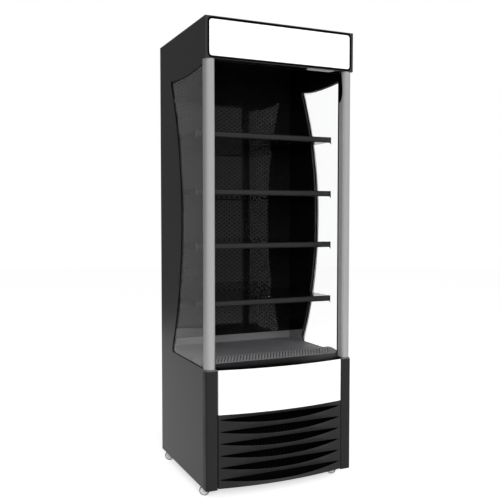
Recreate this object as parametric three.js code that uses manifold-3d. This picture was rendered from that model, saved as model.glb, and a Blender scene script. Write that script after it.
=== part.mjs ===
// An open multideck display fridge: a tall, narrow cabinet with an open front, four shelves,
// glazed sides with a waisted rear edge, a sign canopy, a bowed sign and louvres below, and castors.
// Millimetres, +Z up. The front faces -Y and +X is on the right seen from the front.
import * as THREE from "three";
import { mergeVertices } from "three/addons/utils/BufferGeometryUtils.js";
import Module from "manifold-3d";

const wasm = await Module();
wasm.setup();

// ---------------------------------------------------------------- driving dimensions

const cabinetWidth = 700;
const cabinetDepth = 613;
const panelHeight = 1955; // side panels, bottom edge to top edge
const groundClearance = 45; // floor to the side panels' bottom edge
const sideWall = 15;
const seam = 0.3; // gap between pieces that are fitted to each other
const sheet = 1.5; // sheet metal

const headerHeight = 170;

// Heights above the side panels' bottom edge.
const sillHeight = 510;
const deckHeight = 514;
const lowerPostTop = 500;
const lowerSignTop = 504.5;
const lowerSignBottom = 316.5;
const louvreBottom = 4.5;

// Side window: a straight front and sill, a sagging top edge and a waisted rear edge.
const windowWaistDepth = 306.5; // behind the cabinet's front plane
const windowWaistHeight = 1140;
const windowArcRadius = 1395;
const windowTopMargin = 20; // below the header
const windowTopSag = 13;
const windowTopCorner = 16;
const windowBottomCorner = 34;
const glassThickness = 5;
const glassRecess = 1.5; // below the side panel's outer face
const gasketWidth = 3;

// Front posts beside the window, and the dark corner posts below them.
const frontPostWidth = 44;
const frontPostDepth = 32; // along its outer side, to the window's front edge
const frontPostReturn = 42; // along its inner side, behind the glass
const frontPostRadius = 29;
const frontPostInnerRadius = 14;
const frontPostWall = 2.5;
const lowerPostWidth = 52;
const lowerPostDepth = 40;
const lowerPostRadius = 12;
const lowerPostInnerRadius = 5;
const lowerPostWall = 3;

// Bowed front: sign and louvres.
const frontBow = 30;
const frontPanelGap = 2.5;
const signThickness = 3;
const louvreCount = 6;
const firstSlotHeight = 295.5;
const slotPitch = 50.8;
const louvreDip = 23;
const bladeThickness = 3;
const stileWidth = 12;
const bowSteps = 16;

// Back, roof and air ducts.
const backThickness = 15;
const roofThickness = 15;
const rearDuctGap = 25;
const ceilingDrop = 28; // below the roof panel
const ceilingThickness = 2;

// Canopy.
const canopyDepth = 66;
const bezelDepth = 7;
const signSideBorder = 3;
const signTopBorder = 12;
const signBottomBorder = 11;
const signCorner = 12;
const signLedge = 4;
const lampDiameter = 16;
const canopySignThickness = 5;
const honeycombSetback = 6; // behind the light box
const honeycombDepth = 34;
const honeycombHeight = 14;
const honeycombCells = 20;
const honeycombRows = 2;
const honeycombWall = 2;

// Shelves: top faces above the side panels' bottom edge.
const shelfHeights = [1512, 1263, 1027, 774];
const shelfSetback = 159.5; // behind the cabinet's front plane
const shelfSideGap = 4.5;
const shelfDepthOfEdge = 22;
const shelfSheet = 1.2;
const railThickness = 6;
const railLip = 2; // the lips above and below the rail's label face
const railDrop = 3; // below the tray
const railOverhang = 1;
const armThickness = 3;
const armHeight = 20;
const armInset = 3;
const hookTop = 3.5; // below the tray's top face
const hookNeck = 7;
const hookTooth = 6;
const hookThickness = 3;
const hookLift = 7; // free height above the hook's neck in its slot
const hookPlay = 1.5; // between the tooth and the upright, so that the shelf can tilt
const hookSlotPitch = 25;
const trayRearGap = 3;
const tieWidth = 14;

// Deck and return air grille.
const deckSetback = 231.5; // behind the cabinet's front plane
const grilleSetback = 74.5;
const grilleHump = 15;
const deckUpstand = 35;
const deckEndRise = 26;
const deckHem = 2;
const grilleSlotPitch = 14.7;
const grilleSlotWidth = 3;
const grilleSlotReach = 56; // from its front end to its rear end
const grilleSlotSlant = THREE.MathUtils.degToRad(28);
const grilleSlotMargin = 9;
const noseDrop = 9.5;
const noseBase = 9;

// Insulated base tank below the deck and the evaporator in it.
const tankFloor = 22;
const tankWall = 18;
const tankSetback = 16.5; // behind the cabinet's front plane
const tankRearWallTop = 480;
const coilLength = 480;
const coilDepth = 230;
const coilHeight = 96;
const finCount = 18;
const finGap = 8;
const finGrooveDepth = 7;
const coilTube = 10;
const coilBendRadius = 16;
const coilRearSpace = 96.5; // to the cabinet's back
const fanPlateSpace = 80; // in front of the coil
const evaporatorFanDiameter = 120;

// Machine compartment.
const basePanRise = 12; // bottom face above the side panels' bottom edge
const basePanWall = 2;
const basePanFlange = 24;
const compressorDiameter = 150;
const compressorHeight = 165;
const compressorFoot = 14;
const compressorFootOverhang = 8;
const compressorShoulder = 14;
const weldFlange = 3;
const weldFlangeHeight = 4;
const pipeStubDiameter = 10;
const pipeStubRise = 26; // above the compressor
const terminalSize = 44;
const terminalReach = 22;
const compressorSideInset = 180; // from the cabinet's right side to the compressor's middle
const compressorRearInset = 246.5;
const condenserWidth = 330;
const condenserHeight = 220;
const condenserDepth = 60;
const condenserSideInset = 240; // from the cabinet's left side to the condenser's middle
const condenserSetback = 81.5;
const shroudDepth = 40;
const shroudWall = 2;
const condenserFanDiameter = 190;
const fanClearance = 3;
const fanHubDiameter = 44;
const fanHubLength = 26;
const fanBlades = 5;
const fanBladeThickness = 2;
const fanShaft = 6;
const fanPitch = 0.5;
const strutWidth = 10;
const motorDiameter = 52;
const motorLength = 34;
const motorGap = 4;
const drainPanWidth = 300;
const drainPanDepth = 220;
const drainPanHeight = 40;
const drainPanSideInset = 190; // from the cabinet's left side to the pan's middle
const drainPanRearInset = 156.5;
const controlWidth = 130;
const controlHeight = 110;
const controlDepth = 50;
const controlSideInset = 100; // from the cabinet's right side to the box's middle
const controlTop = 285;
const controlRecess = 12;
const knobDiameter = 26;
const knobLength = 9;
const rockerWidth = 14;
const rockerHeight = 22;
const rockerDepth = 12;
const rockerPivotDepth = 5;
const rockerTilt = THREE.MathUtils.degToRad(8);
const inletWidth = 28;
const inletHeight = 20;
const inletDepth = 16;
const inletRise = 26; // from the control box's bottom to the inlet's middle
const inletPin = 3;
const inletPinPitch = 7;
const inletPinRecess = 4;
const inletPinRaise = 4; // the middle pin above the inlet's middle
const inletPinDrop = 2; // the outer pins below it
const controlSpread = 30; // knob and rocker to the control box's middle
const controlRowDrop = 32; // knob and rocker below the control box's top
const controlLegWidth = 8;
const controlLegInset = 4;
const controlLegSetback = 14;
const controlLegDepth = 6;
const rearGrilleSlots = 7;
const rearGrilleSlotHeight = 9;
const rearGrilleSlotLength = 130;
const rearGrilleColumns = 3;
const rearGrilleLowEdge = 40; // below the lowest row of slots
const rearGrilleTopEdge = 10;
const rearGrilleCutMargin = 4; // inside the control box's outline
const rearGrilleInset = 5; // from the back panel's face

// Castors.
const castorSideInset = 37;
const castorFrontInset = 74.5;
const castorRearInset = 56;
const castorTrail = 17;
const castorHeading = THREE.MathUtils.degToRad(58);
const wheelDiameter = 43;
const wheelWidth = 16;
const wheelSideGap = 1;
const forkPlate = 2;
const forkReach = 9.5; // half of the fork's length under its crown
const forkEyeRadius = 7;
const forkBridge = 3;
const wheelHubRadius = 8;
const wheelRim = 4; // radial width of the rim's flat side
const wheelDish = 2.5; // depth of the wheel's sides between hub and rim
const wheelRounding = 1.5;
const crownDiameter = 30;
const crownHeight = 9;
const axleDiameter = 6;
const axleGap = 0.3;

// ---------------------------------------------------------------- derived places

const halfWidth = cabinetWidth / 2;
const innerX = halfWidth - sideWall;
const fittedX = innerX - seam;
const glassInnerX = halfWidth - glassRecess - glassThickness;
const frontY = -cabinetDepth / 2;
const backY = cabinetDepth / 2;
const baseZ = groundClearance;
const topZ = baseZ + panelHeight;
const headerZ = topZ - headerHeight;
const windowTopZ = headerZ - windowTopMargin;
const sillZ = baseZ + sillHeight;
const deckZ = baseZ + deckHeight;
const lowerPostZ = baseZ + lowerPostTop;
const signTopZ = baseZ + lowerSignTop;
const signBottomZ = baseZ + lowerSignBottom;
const roofZ = topZ - roofThickness;
const ceilingZ = roofZ - ceilingDrop;
const lightBoxFrontY = frontY + bezelDepth;
const lightBoxRearY = frontY + canopyDepth;
const backFaceY = backY - backThickness;
const ductPanelRearY = backFaceY - rearDuctGap;
const ductPanelFaceY = ductPanelRearY - sheet;
const lowerPostInnerX = halfWidth - lowerPostWidth;
const bowHalfWidth = lowerPostInnerX - frontPanelGap;
const shelfHalfWidth = innerX - shelfSideGap;
const panZ = baseZ + basePanRise;
const panTopZ = panZ + basePanWall;
const tankBottomZ = signBottomZ + 1;
const tankTopZ = signTopZ - seam;
const windowFrontY = frontY + frontPostDepth;
const windowWaistY = frontY + windowWaistDepth;
const shelfFrontY = frontY + shelfSetback;
const deckFrontY = frontY + deckSetback;
const grilleFrontY = frontY + grilleSetback;
const tankFrontY = frontY + tankSetback;
const coilRearY = backY - coilRearSpace;
const fanPlateY = coilRearY - coilDepth - fanPlateSpace;
const compressorX = halfWidth - compressorSideInset;
const compressorY = backY - compressorRearInset;
const condenserX = -halfWidth + condenserSideInset;
const condenserY = frontY + condenserSetback;
const drainPanX = -halfWidth + drainPanSideInset;
const drainPanY = backY - drainPanRearInset;
const controlX = halfWidth - controlSideInset;
const castorX = halfWidth - castorSideInset;
const castorFrontY = frontY + castorFrontInset;
const castorRearY = backY - castorRearInset;

// ---------------------------------------------------------------- solids and shapes

// A closed geometry as a solid that can be joined and cut.
function toSolid(geometry) {
  const bare = geometry.index ? geometry.toNonIndexed() : geometry.clone();
  for (const name of Object.keys(bare.attributes)) {
    if (name !== "position") bare.deleteAttribute(name);
  }
  const merged = mergeVertices(bare, 1e-4);
  const triVerts = new Uint32Array(merged.index.array);
  return new wasm.Manifold(
    new wasm.Mesh({ numProp: 3, vertProperties: merged.attributes.position.array, triVerts }),
  );
}

function toGeometry(solid) {
  const mesh = solid.getMesh();
  return new THREE.BufferGeometry()
    .setAttribute("position", new THREE.BufferAttribute(new Float32Array(mesh.vertProperties), 3))
    .setIndex(new THREE.BufferAttribute(new Uint32Array(mesh.triVerts), 1));
}

function join(...pieces) {
  return toGeometry(pieces.map(toSolid).reduce((whole, piece) => whole.add(piece)));
}

function cut(body, ...tools) {
  return toGeometry(tools.map(toSolid).reduce((rest, tool) => rest.subtract(tool), toSolid(body)));
}

function box(x0, x1, y0, y1, z0, z1) {
  return new THREE.BoxGeometry(x1 - x0, y1 - y0, z1 - z0).translate(
    (x0 + x1) / 2,
    (y0 + y1) / 2,
    (z0 + z1) / 2,
  );
}

function cylinder(diameter, length, sides = 24) {
  return new THREE.CylinderGeometry(diameter / 2, diameter / 2, length, sides);
}

// The shape's own x and y become world y and z, and it is drawn out along X.
function prismX(shape, x0, x1, curveSegments = 12) {
  const turn = new THREE.Matrix4().makeBasis(
    new THREE.Vector3(0, 1, 0),
    new THREE.Vector3(0, 0, 1),
    new THREE.Vector3(1, 0, 0),
  );
  const options = { depth: x1 - x0, bevelEnabled: false, curveSegments };
  return new THREE.ExtrudeGeometry(shape, options).applyMatrix4(turn).translate(x0, 0, 0);
}

// The shape's own x and y become world x and z, and it is drawn out along Y.
function prismY(shape, y0, y1, curveSegments = 8) {
  const options = { depth: y1 - y0, bevelEnabled: false, curveSegments };
  return new THREE.ExtrudeGeometry(shape, options).rotateX(Math.PI / 2).translate(0, y1, 0);
}

function prismZ(shape, z0, z1, curveSegments = 8) {
  const options = { depth: z1 - z0, bevelEnabled: false, curveSegments };
  return new THREE.ExtrudeGeometry(shape, options).translate(0, 0, z0);
}

function polygon(points) {
  return new THREE.Shape(points.map(([x, y]) => new THREE.Vector2(x, y)));
}

function roundedRectangle(x0, x1, y0, y1, radius) {
  const shape = new THREE.Shape();
  shape.moveTo(x0 + radius, y0);
  shape.lineTo(x1 - radius, y0);
  shape.absarc(x1 - radius, y0 + radius, radius, -Math.PI / 2, 0, false);
  shape.lineTo(x1, y1 - radius);
  shape.absarc(x1 - radius, y1 - radius, radius, 0, Math.PI / 2, false);
  shape.lineTo(x0 + radius, y1);
  shape.absarc(x0 + radius, y1 - radius, radius, Math.PI / 2, Math.PI, false);
  shape.lineTo(x0, y0 + radius);
  shape.absarc(x0 + radius, y0 + radius, radius, Math.PI, 1.5 * Math.PI, false);
  return shape;
}

// A solid through sections at rising x. A section is a loop of [y, z], anticlockwise seen from +X.
function loftX(sections) {
  const count = sections[0].loop.length;
  const positions = sections.flatMap(({ x, loop }) => loop.flatMap(([y, z]) => [x, y, z]));
  const faces = [];
  for (let i = 0; i + 1 < sections.length; i++) {
    for (let j = 0; j < count; j++) {
      const k = (j + 1) % count;
      const near = i * count;
      const far = near + count;
      faces.push(near + j, near + k, far + k, near + j, far + k, far + j);
    }
  }
  const last = (sections.length - 1) * count;
  const outline = sections[0].loop.map(([y, z]) => new THREE.Vector2(y, z));
  for (const [a, b, c] of THREE.ShapeUtils.triangulateShape(outline, [])) {
    faces.push(a, c, b, last + a, last + b, last + c);
  }
  return new THREE.BufferGeometry()
    .setAttribute("position", new THREE.Float32BufferAttribute(positions, 3))
    .setIndex(faces);
}

// How far the bowed front stands forward of the corner posts at x.
function bowAt(x) {
  return frontBow * (1 - (x / bowHalfWidth) ** 2);
}

function bowedStations(halfLength = bowHalfWidth) {
  return Array.from({ length: bowSteps + 1 }, (_, i) => halfLength * ((2 * i) / bowSteps - 1));
}

// ---------------------------------------------------------------- materials

function metal(color, roughness = 0.45, metalness = 0.3) {
  return new THREE.MeshStandardMaterial({ color, roughness, metalness });
}

const finishes = {
  blackPaint: () => metal(0x36363a, 0.35),
  glossBlack: () => metal(0x141416, 0.12),
  deckGrey: () => metal(0x404042, 0.4),
  aluminium: () => metal(0xc0c1c4, 0.35, 0.9),
  steel: () => metal(0xb0b2b5, 0.4, 0.8),
  darkSteel: () => metal(0x2a2a2d, 0.5, 0.4),
  white: () => metal(0xffffff, 0.4, 0),
  foam: () => metal(0xd8d8d4, 0.7, 0),
  blackPlastic: () => metal(0x1c1c1e, 0.5, 0),
  rubber: () => metal(0x161616, 0.9, 0),
  chrome: () => metal(0xd2d4d6, 0.15, 1),
  glass: () =>
    new THREE.MeshStandardMaterial({
      color: 0xdfe8ea,
      roughness: 0.03,
      metalness: 0,
      transparent: true,
      opacity: 0.2,
    }),
};

const fridge = new THREE.Group();
const cabinet = new THREE.Group();
cabinet.position.y = frontBow / 2;
fridge.add(cabinet);

function add(name, geometry, material, parent = cabinet) {
  const mesh = new THREE.Mesh(geometry, material);
  mesh.name = name;
  parent.add(mesh);
  return mesh;
}

const sides = [
  { name: "left", sign: -1 },
  { name: "right", sign: 1 },
];

// The x range from `inner` to `outer` on one side of the cabinet.
function span(sign, inner, outer) {
  return sign < 0 ? [-outer, -inner] : [inner, outer];
}

// ---------------------------------------------------------------- side walls

// The rear edge of the window is an arc about a centre behind it.
function windowRearY(z, inset = 0) {
  const radius = windowArcRadius + inset;
  const rise = z - (baseZ + windowWaistHeight);
  return windowWaistY + windowArcRadius - Math.sqrt(radius ** 2 - rise ** 2);
}

// The window's edge from the front of its sill, round the back, to the front of its top edge.
function windowEdge(inset, frontEdgeY) {
  const sill = sillZ + inset;
  const top = windowTopZ - inset;
  const lowCorner = windowBottomCorner - inset;
  const highCorner = windowTopCorner - inset;
  const edge = new THREE.Path();
  edge.moveTo(frontEdgeY, sill);
  edge.lineTo(windowRearY(sill, inset) - lowCorner, sill);
  edge.quadraticCurveTo(
    windowRearY(sill, inset),
    sill,
    windowRearY(sill + lowCorner, inset),
    sill + lowCorner,
  );
  const arcSteps = 16;
  const low = sill + lowCorner;
  const high = top - highCorner;
  for (let i = 1; i <= arcSteps; i++) {
    const z = low + ((high - low) * i) / arcSteps;
    edge.lineTo(windowRearY(z, inset), z);
  }
  edge.quadraticCurveTo(windowRearY(top, inset), top, windowRearY(top, inset) - highCorner, top);
  edge.quadraticCurveTo(windowWaistY, top - 2 * windowTopSag, frontEdgeY, top);
  return edge.getPoints(8);
}

function sidePanel(sign) {
  const footY = frontY + lowerPostDepth;
  const outline = new THREE.Shape([
    new THREE.Vector2(backY, baseZ),
    new THREE.Vector2(backY, topZ),
    new THREE.Vector2(frontY, topZ),
    new THREE.Vector2(frontY, headerZ),
    new THREE.Vector2(windowFrontY, headerZ),
    ...windowEdge(0, windowFrontY).slice(1).reverse(),
    new THREE.Vector2(footY, sillZ),
    new THREE.Vector2(footY, baseZ),
  ]);
  return prismX(outline, ...span(sign, innerX, halfWidth));
}

function sideGlass(sign) {
  const outline = new THREE.Shape(windowEdge(gasketWidth + 2 * seam, windowFrontY + seam));
  return prismX(outline, ...span(sign, glassInnerX, halfWidth - glassRecess));
}

function glassGasket(sign) {
  const outer = windowEdge(seam, windowFrontY + seam);
  const inner = windowEdge(gasketWidth + seam, windowFrontY + seam);
  const outline = new THREE.Shape([...outer, ...inner.reverse()]);
  return prismX(outline, ...span(sign, glassInnerX, halfWidth));
}

// The front post's corner radii leave a straight stretch beside each corner.
const straightStretch = 0.5;
const outerCorner = Math.min(frontPostRadius, frontPostDepth - frontPostWall - straightStretch);
const innerCorner = Math.min(frontPostInnerRadius, frontPostWidth - outerCorner - straightStretch);

// The rounded front of a corner post in plan, for the left side, drawn `inset` inside its faces.
function roundedFront(path, width, radius, innerRadius, inset) {
  const leftX = -halfWidth + radius;
  const rightX = -halfWidth + width - innerRadius;
  path.absarc(leftX, frontY + radius, radius - inset, Math.PI, 1.5 * Math.PI, false);
  path.absarc(
    rightX,
    frontY + innerRadius,
    innerRadius - inset,
    1.5 * Math.PI,
    2 * Math.PI,
    false,
  );
  return path;
}

// A corner post in plan that is straight behind its rounded front.
function straightOutline(path, width, depth, radius, innerRadius, inset) {
  roundedFront(path, width, radius, innerRadius, inset);
  path.lineTo(-halfWidth + width - inset, frontY + depth - inset);
  path.lineTo(-halfWidth + inset, frontY + depth - inset);
  return path;
}

function lowerPostOutline(path, inset) {
  return straightOutline(
    path,
    lowerPostWidth,
    lowerPostDepth,
    lowerPostRadius,
    lowerPostInnerRadius,
    inset,
  );
}

// The front post is notched behind its outer side, where the glass and the side panel meet it.
function frontPostOutline(path, inset) {
  const notchX = -halfWidth + sideWall + seam + inset;
  const notchY = frontY + frontPostDepth - inset;
  const sideX = -halfWidth + frontPostWidth - inset;
  const rearY = frontY + frontPostReturn - inset;
  roundedFront(path, frontPostWidth, outerCorner, innerCorner, inset);
  path.lineTo(sideX, rearY);
  path.lineTo(notchX, rearY);
  path.lineTo(notchX, notchY);
  path.lineTo(-halfWidth + inset, notchY);
  return path;
}

const postCurveSegments = 6;

function hollowPost(outline, wall, bottom, top, sign) {
  const profile = outline(new THREE.Shape(), 0);
  profile.holes.push(outline(new THREE.Path(), wall));
  const post = prismZ(profile, bottom, top, postCurveSegments);
  return sign < 0 ? post : mirrored(post);
}

// The lower post ends in a cap that narrows to the foot of the post above it.
function lowerPostCap(sign) {
  const low = lowerPostOutline(new THREE.Path(), 0);
  const high = straightOutline(
    new THREE.Path(),
    frontPostWidth,
    lowerPostDepth,
    outerCorner,
    innerCorner,
    0,
  );
  const sections = [
    { x: lowerPostZ - lowerPostWall, outline: low },
    { x: lowerPostZ, outline: low },
    { x: sillZ, outline: high },
  ];
  const upright = new THREE.Matrix4().makeBasis(
    new THREE.Vector3(0, 0, 1),
    new THREE.Vector3(1, 0, 0),
    new THREE.Vector3(0, 1, 0),
  );
  const cap = loftX(
    sections.map(({ x, outline }) => ({
      x,
      loop: outline.getPoints(postCurveSegments).map((point) => [point.x, point.y]),
    })),
  );
  cap.applyMatrix4(upright);
  return sign < 0 ? cap : mirrored(cap);
}

// The same geometry on the other side of the cabinet, with its faces still pointing out.
function mirrored(geometry) {
  const other = toSolid(geometry).mirror([1, 0, 0]);
  return toGeometry(other);
}

for (const { name, sign } of sides) {
  add("side_panel_" + name, sidePanel(sign), finishes.blackPaint());
  add("side_glass_" + name, sideGlass(sign), finishes.glass());
  add("glass_gasket_" + name, glassGasket(sign), finishes.rubber());
  add(
    "front_post_" + name,
    hollowPost(frontPostOutline, frontPostWall, sillZ, headerZ - seam, sign),
    finishes.aluminium(),
  );
  const lowerPost = hollowPost(lowerPostOutline, lowerPostWall, baseZ, lowerPostZ, sign);
  add("lower_corner_post_" + name, join(lowerPost, lowerPostCap(sign)), finishes.blackPaint());
}

// ---------------------------------------------------------------- back, roof and ducts

const backBottomZ = tankBottomZ;
add(
  "back_panel",
  box(-innerX, innerX, backFaceY, backY, backBottomZ, roofZ),
  finishes.blackPaint(),
);
add("roof_panel", box(-innerX, innerX, frontY + bezelDepth, backY, roofZ, topZ), finishes.blackPaint());

// Slots for the shelf hooks, the same in the duct panel and in the uprights behind it.
const armCentreX = shelfHalfWidth - shelfSheet - armInset - armThickness / 2;
const hookSlotWidth = armThickness + 2;
const hookSeat = hookTop + hookNeck; // the slot's lower edge, below the tray's top face

function hookSlots(x, y0, y1) {
  return shelfHeights.flatMap((height) => {
    return [0, 1].map((row) => {
      const low = baseZ + height - hookSeat - row * hookSlotPitch;
      const high = low + hookNeck + hookLift;
      return box(x - hookSlotWidth / 2, x + hookSlotWidth / 2, y0, y1, low, high);
    });
  });
}

const ductPanelBottomZ = tankTopZ + seam;
add(
  "rear_duct_panel",
  cut(
    box(-fittedX, fittedX, ductPanelFaceY, ductPanelRearY, ductPanelBottomZ, ceilingZ),
    ...sides.flatMap(({ sign }) => hookSlots(sign * armCentreX, ductPanelFaceY - 1, ductPanelRearY + 1)),
  ),
  finishes.glossBlack(),
);

const uprightWidth = 30;
const uprightBottomZ = ductPanelBottomZ + 40;
const uprightTopDrop = 60; // below the header
const uprightTopZ = headerZ - uprightTopDrop;

// A channel that is open towards the back, with its web against the duct panel.
function shelfUpright(sign) {
  const x0 = sign * armCentreX - uprightWidth / 2;
  const x1 = Math.min(x0 + uprightWidth, fittedX);
  const left = Math.max(x0, -fittedX);
  const rear = backFaceY - seam;
  const front = ductPanelRearY + seam;
  return cut(
    box(left, x1, front, rear, uprightBottomZ, uprightTopZ),
    box(left + sheet, x1 - sheet, front + sheet, rear + 1, uprightBottomZ - 1, uprightTopZ + 1),
    ...hookSlots(sign * armCentreX, front - 1, front + sheet + 1),
  );
}

for (const { name, sign } of sides) {
  add("shelf_upright_" + name, shelfUpright(sign), finishes.darkSteel());
}

// The ceiling closes the inside below the roof and carries the air curtain's honeycomb at its front.
const honeycombFrontY = lightBoxRearY + honeycombSetback;
const honeycombRearY = honeycombFrontY + honeycombDepth;
const honeycombHalfWidth = innerX - 25;
const ceilingTopZ = ceilingZ + ceilingThickness;
add(
  "ceiling_panel",
  cut(
    box(-fittedX, fittedX, lightBoxRearY + seam, backFaceY - seam, ceilingZ, ceilingTopZ),
    box(
      -honeycombHalfWidth,
      honeycombHalfWidth,
      honeycombFrontY,
      honeycombRearY,
      ceilingZ - 1,
      ceilingTopZ + 1,
    ),
    box(
      -innerX + 40,
      innerX - 40,
      ductPanelRearY + seam,
      backFaceY - 3,
      ceilingZ - 1,
      ceilingTopZ + 1,
    ),
  ),
  finishes.glossBlack(),
);

const honeycombRim = 4; // of the flange that rests on the ceiling
const honeycombFlange = 2;
const honeycombRecess = 0.5; // of its lower face in the ceiling's opening

// A block of straight cells that sets the falling air in order. A rim rests on the ceiling.
function honeycomb() {
  const x = honeycombHalfWidth - seam;
  const y0 = honeycombFrontY + seam;
  const y1 = honeycombRearY - seam;
  const rim = honeycombRim;
  const cells = [];
  const cellX = (2 * x - honeycombWall) / honeycombCells;
  const cellY = (y1 - y0 - honeycombWall) / honeycombRows;
  for (let i = 0; i < honeycombCells; i++) {
    for (let j = 0; j < honeycombRows; j++) {
      const left = -x + honeycombWall + i * cellX;
      const near = y0 + honeycombWall + j * cellY;
      const right = left + cellX - honeycombWall;
      const far = near + cellY - honeycombWall;
      cells.push(box(left, right, near, far, ceilingZ - 5, ceilingZ + honeycombHeight + 5));
    }
  }
  const block = join(
    box(-x, x, y0, y1, ceilingZ + honeycombRecess, ceilingZ + honeycombHeight),
    box(-x - rim, x + rim, y0 - rim, y1 + rim, ceilingTopZ, ceilingTopZ + honeycombFlange),
  );
  return cut(block, ...cells);
}
add("air_curtain_honeycomb", honeycomb(), finishes.blackPlastic());

// ---------------------------------------------------------------- canopy

const signX = innerX - signSideBorder;
const signLowZ = headerZ + signBottomBorder;
const signHighZ = topZ - signTopBorder;

function signOutline(grow) {
  return roundedRectangle(-signX - grow, signX + grow, signLowZ - grow, signHighZ + grow, signCorner);
}

function canopyBezel() {
  return cut(
    box(-fittedX, fittedX, frontY, frontY + bezelDepth, headerZ, topZ),
    prismY(signOutline(seam), frontY - 1, frontY + canopySignThickness + seam),
    prismY(signOutline(-signLedge), frontY, frontY + bezelDepth + 1),
  );
}
add("canopy_bezel", canopyBezel(), finishes.blackPaint());
add("canopy_sign", prismY(signOutline(0), frontY, frontY + canopySignThickness), finishes.white());

// An open-fronted light box behind the bezel.
const lightBoxWall = 2;
add(
  "canopy_light_box",
  cut(
    box(-fittedX, fittedX, lightBoxFrontY, lightBoxRearY, headerZ, roofZ),
    box(
      -fittedX + lightBoxWall,
      fittedX - lightBoxWall,
      lightBoxFrontY - 1,
      lightBoxRearY - lightBoxWall,
      headerZ + lightBoxWall,
      roofZ - lightBoxWall,
    ),
  ),
  finishes.glossBlack(),
);

// A tube lamp along the middle of the light box, in a holder at each end.
function canopyLamp() {
  const endX = fittedX - lightBoxWall - seam;
  const holder = lampDiameter + 6;
  const holderLength = 18;
  const tube = cylinder(lampDiameter, 2 * endX, 16).rotateZ(Math.PI / 2);
  const ends = [-1, 1].map((sign) =>
    box(
      ...span(sign, endX - holderLength, endX),
      -holder / 2,
      holder / 2,
      -holder / 2,
      holder / 2,
    ),
  );
  const middleY = (lightBoxFrontY + lightBoxRearY) / 2;
  return join(tube, ...ends).translate(0, middleY, (headerZ + roofZ) / 2);
}
add("canopy_lamp", canopyLamp(), finishes.white());

// ---------------------------------------------------------------- shelves

// One shelf is a tray, a price rail on its front edge and a hooked frame under it.
// Its group stands at the hooks, where it pivots when it is lifted off.
function shelfTray() {
  const x = shelfHalfWidth;
  const y0 = shelfFrontY;
  const y1 = ductPanelFaceY - trayRearGap;
  const skirt = shelfSheet;
  return cut(
    box(-x, x, y0, y1, -shelfDepthOfEdge, 0),
    box(
      -x + skirt,
      x - skirt,
      y0 + skirt,
      y1 - skirt,
      -shelfDepthOfEdge - 1,
      -skirt,
    ),
  );
}

function priceRail() {
  const back = shelfFrontY - seam;
  const face = shelfFrontY - railThickness + railLip;
  const front = shelfFrontY - railThickness;
  const low = -shelfDepthOfEdge - railDrop;
  const profile = polygon([
    [back, low],
    [back, 0],
    [front, 0],
    [front, -railLip],
    [face, -railLip],
    [face, low + railLip],
    [front, low + railLip],
    [front, low],
  ]);
  return prismX(profile, -shelfHalfWidth - railOverhang, shelfHalfWidth + railOverhang);
}

const armFrontGap = 6; // from the tray's front skirt
const armRearGap = 4;
const tieFrontInset = 30;
const tieRearInset = 60;
const tieHeight = 6;

// Two arms with hooks at the back, joined by ties and by the flat sheet that closes the tray below.
function shelfFrame() {
  const top = -shelfSheet - seam;
  const bottom = top - armHeight;
  const front = shelfFrontY + shelfSheet + armFrontGap;
  const rear = ductPanelFaceY - trayRearGap - armRearGap;
  const tooth = ductPanelRearY + seam + sheet + hookPlay;
  const arms = sides.flatMap(({ sign }) => {
    const x = sign * armCentreX;
    const x0 = x - armThickness / 2;
    const x1 = x + armThickness / 2;
    return [
      box(x0, x1, front, rear, bottom, top),
      box(x0, x1, rear - 1, tooth + hookThickness, -hookSeat, -hookTop),
      box(x0, x1, tooth, tooth + hookThickness, -hookSeat - hookTooth, -hookSeat + 1),
    ];
  });
  const ties = [front + tieFrontInset, rear - tieRearInset].map((y) =>
    box(-armCentreX, armCentreX, y, y + tieWidth, top - tieHeight, top),
  );
  const edge = shelfSheet + seam;
  const floor = box(
    -shelfHalfWidth + edge,
    shelfHalfWidth - edge,
    shelfFrontY + edge,
    ductPanelFaceY - trayRearGap - edge,
    -shelfDepthOfEdge,
    -shelfDepthOfEdge + shelfSheet,
  );
  return join(...arms, ...ties, floor);
}

// The rear skirt of the tray is notched round the arms.
function armNotches() {
  return sides.map(({ sign }) => {
    const x = sign * armCentreX;
    const half = armThickness / 2 + 1;
    const rear = ductPanelFaceY - trayRearGap;
    return box(x - half, x + half, rear - 5, rear + 1, -shelfDepthOfEdge - 1, -shelfSheet);
  });
}

const trayGeometry = cut(shelfTray(), ...armNotches());
const railGeometry = priceRail();
const frameGeometry = shelfFrame();
shelfHeights.forEach((height, i) => {
  const shelf = new THREE.Group();
  shelf.position.z = baseZ + height;
  cabinet.add(shelf);
  add("shelf_" + (i + 1), trayGeometry, finishes.blackPaint(), shelf);
  add("price_rail_" + (i + 1), railGeometry, finishes.blackPaint(), shelf);
  add("shelf_frame_" + (i + 1), frameGeometry, finishes.darkSteel(), shelf);
});

// ---------------------------------------------------------------- deck, return grille and nose

const deckEndInset = 3; // from the window's rear edge

// A flat pan with an upstand at the back and one at each end that meets the window's rear corner.
function deckPan() {
  const rear = ductPanelFaceY - seam;
  const under = deckZ - sheet;
  const backTop = deckZ + deckUpstand;
  const cornerTop = backTop + deckEndRise;
  const inset = deckEndInset;
  const end = polygon([
    [windowRearY(sillZ) - windowBottomCorner, under],
    [rear, under],
    [rear, backTop],
    [windowRearY(cornerTop) + inset, cornerTop],
    [windowRearY(sillZ + windowBottomCorner) + inset, sillZ + windowBottomCorner],
  ]);
  return join(
    box(-fittedX, fittedX, deckFrontY, rear, under, deckZ),
    box(-fittedX, fittedX, rear - sheet, rear, under, backTop),
    box(-fittedX, fittedX, deckFrontY, deckFrontY + deckHem, tankTopZ, deckZ),
    prismX(end, -fittedX, -fittedX + sheet),
    prismX(end, fittedX - sheet, fittedX),
  );
}
add("deck_pan", deckPan(), finishes.deckGrey());

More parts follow.
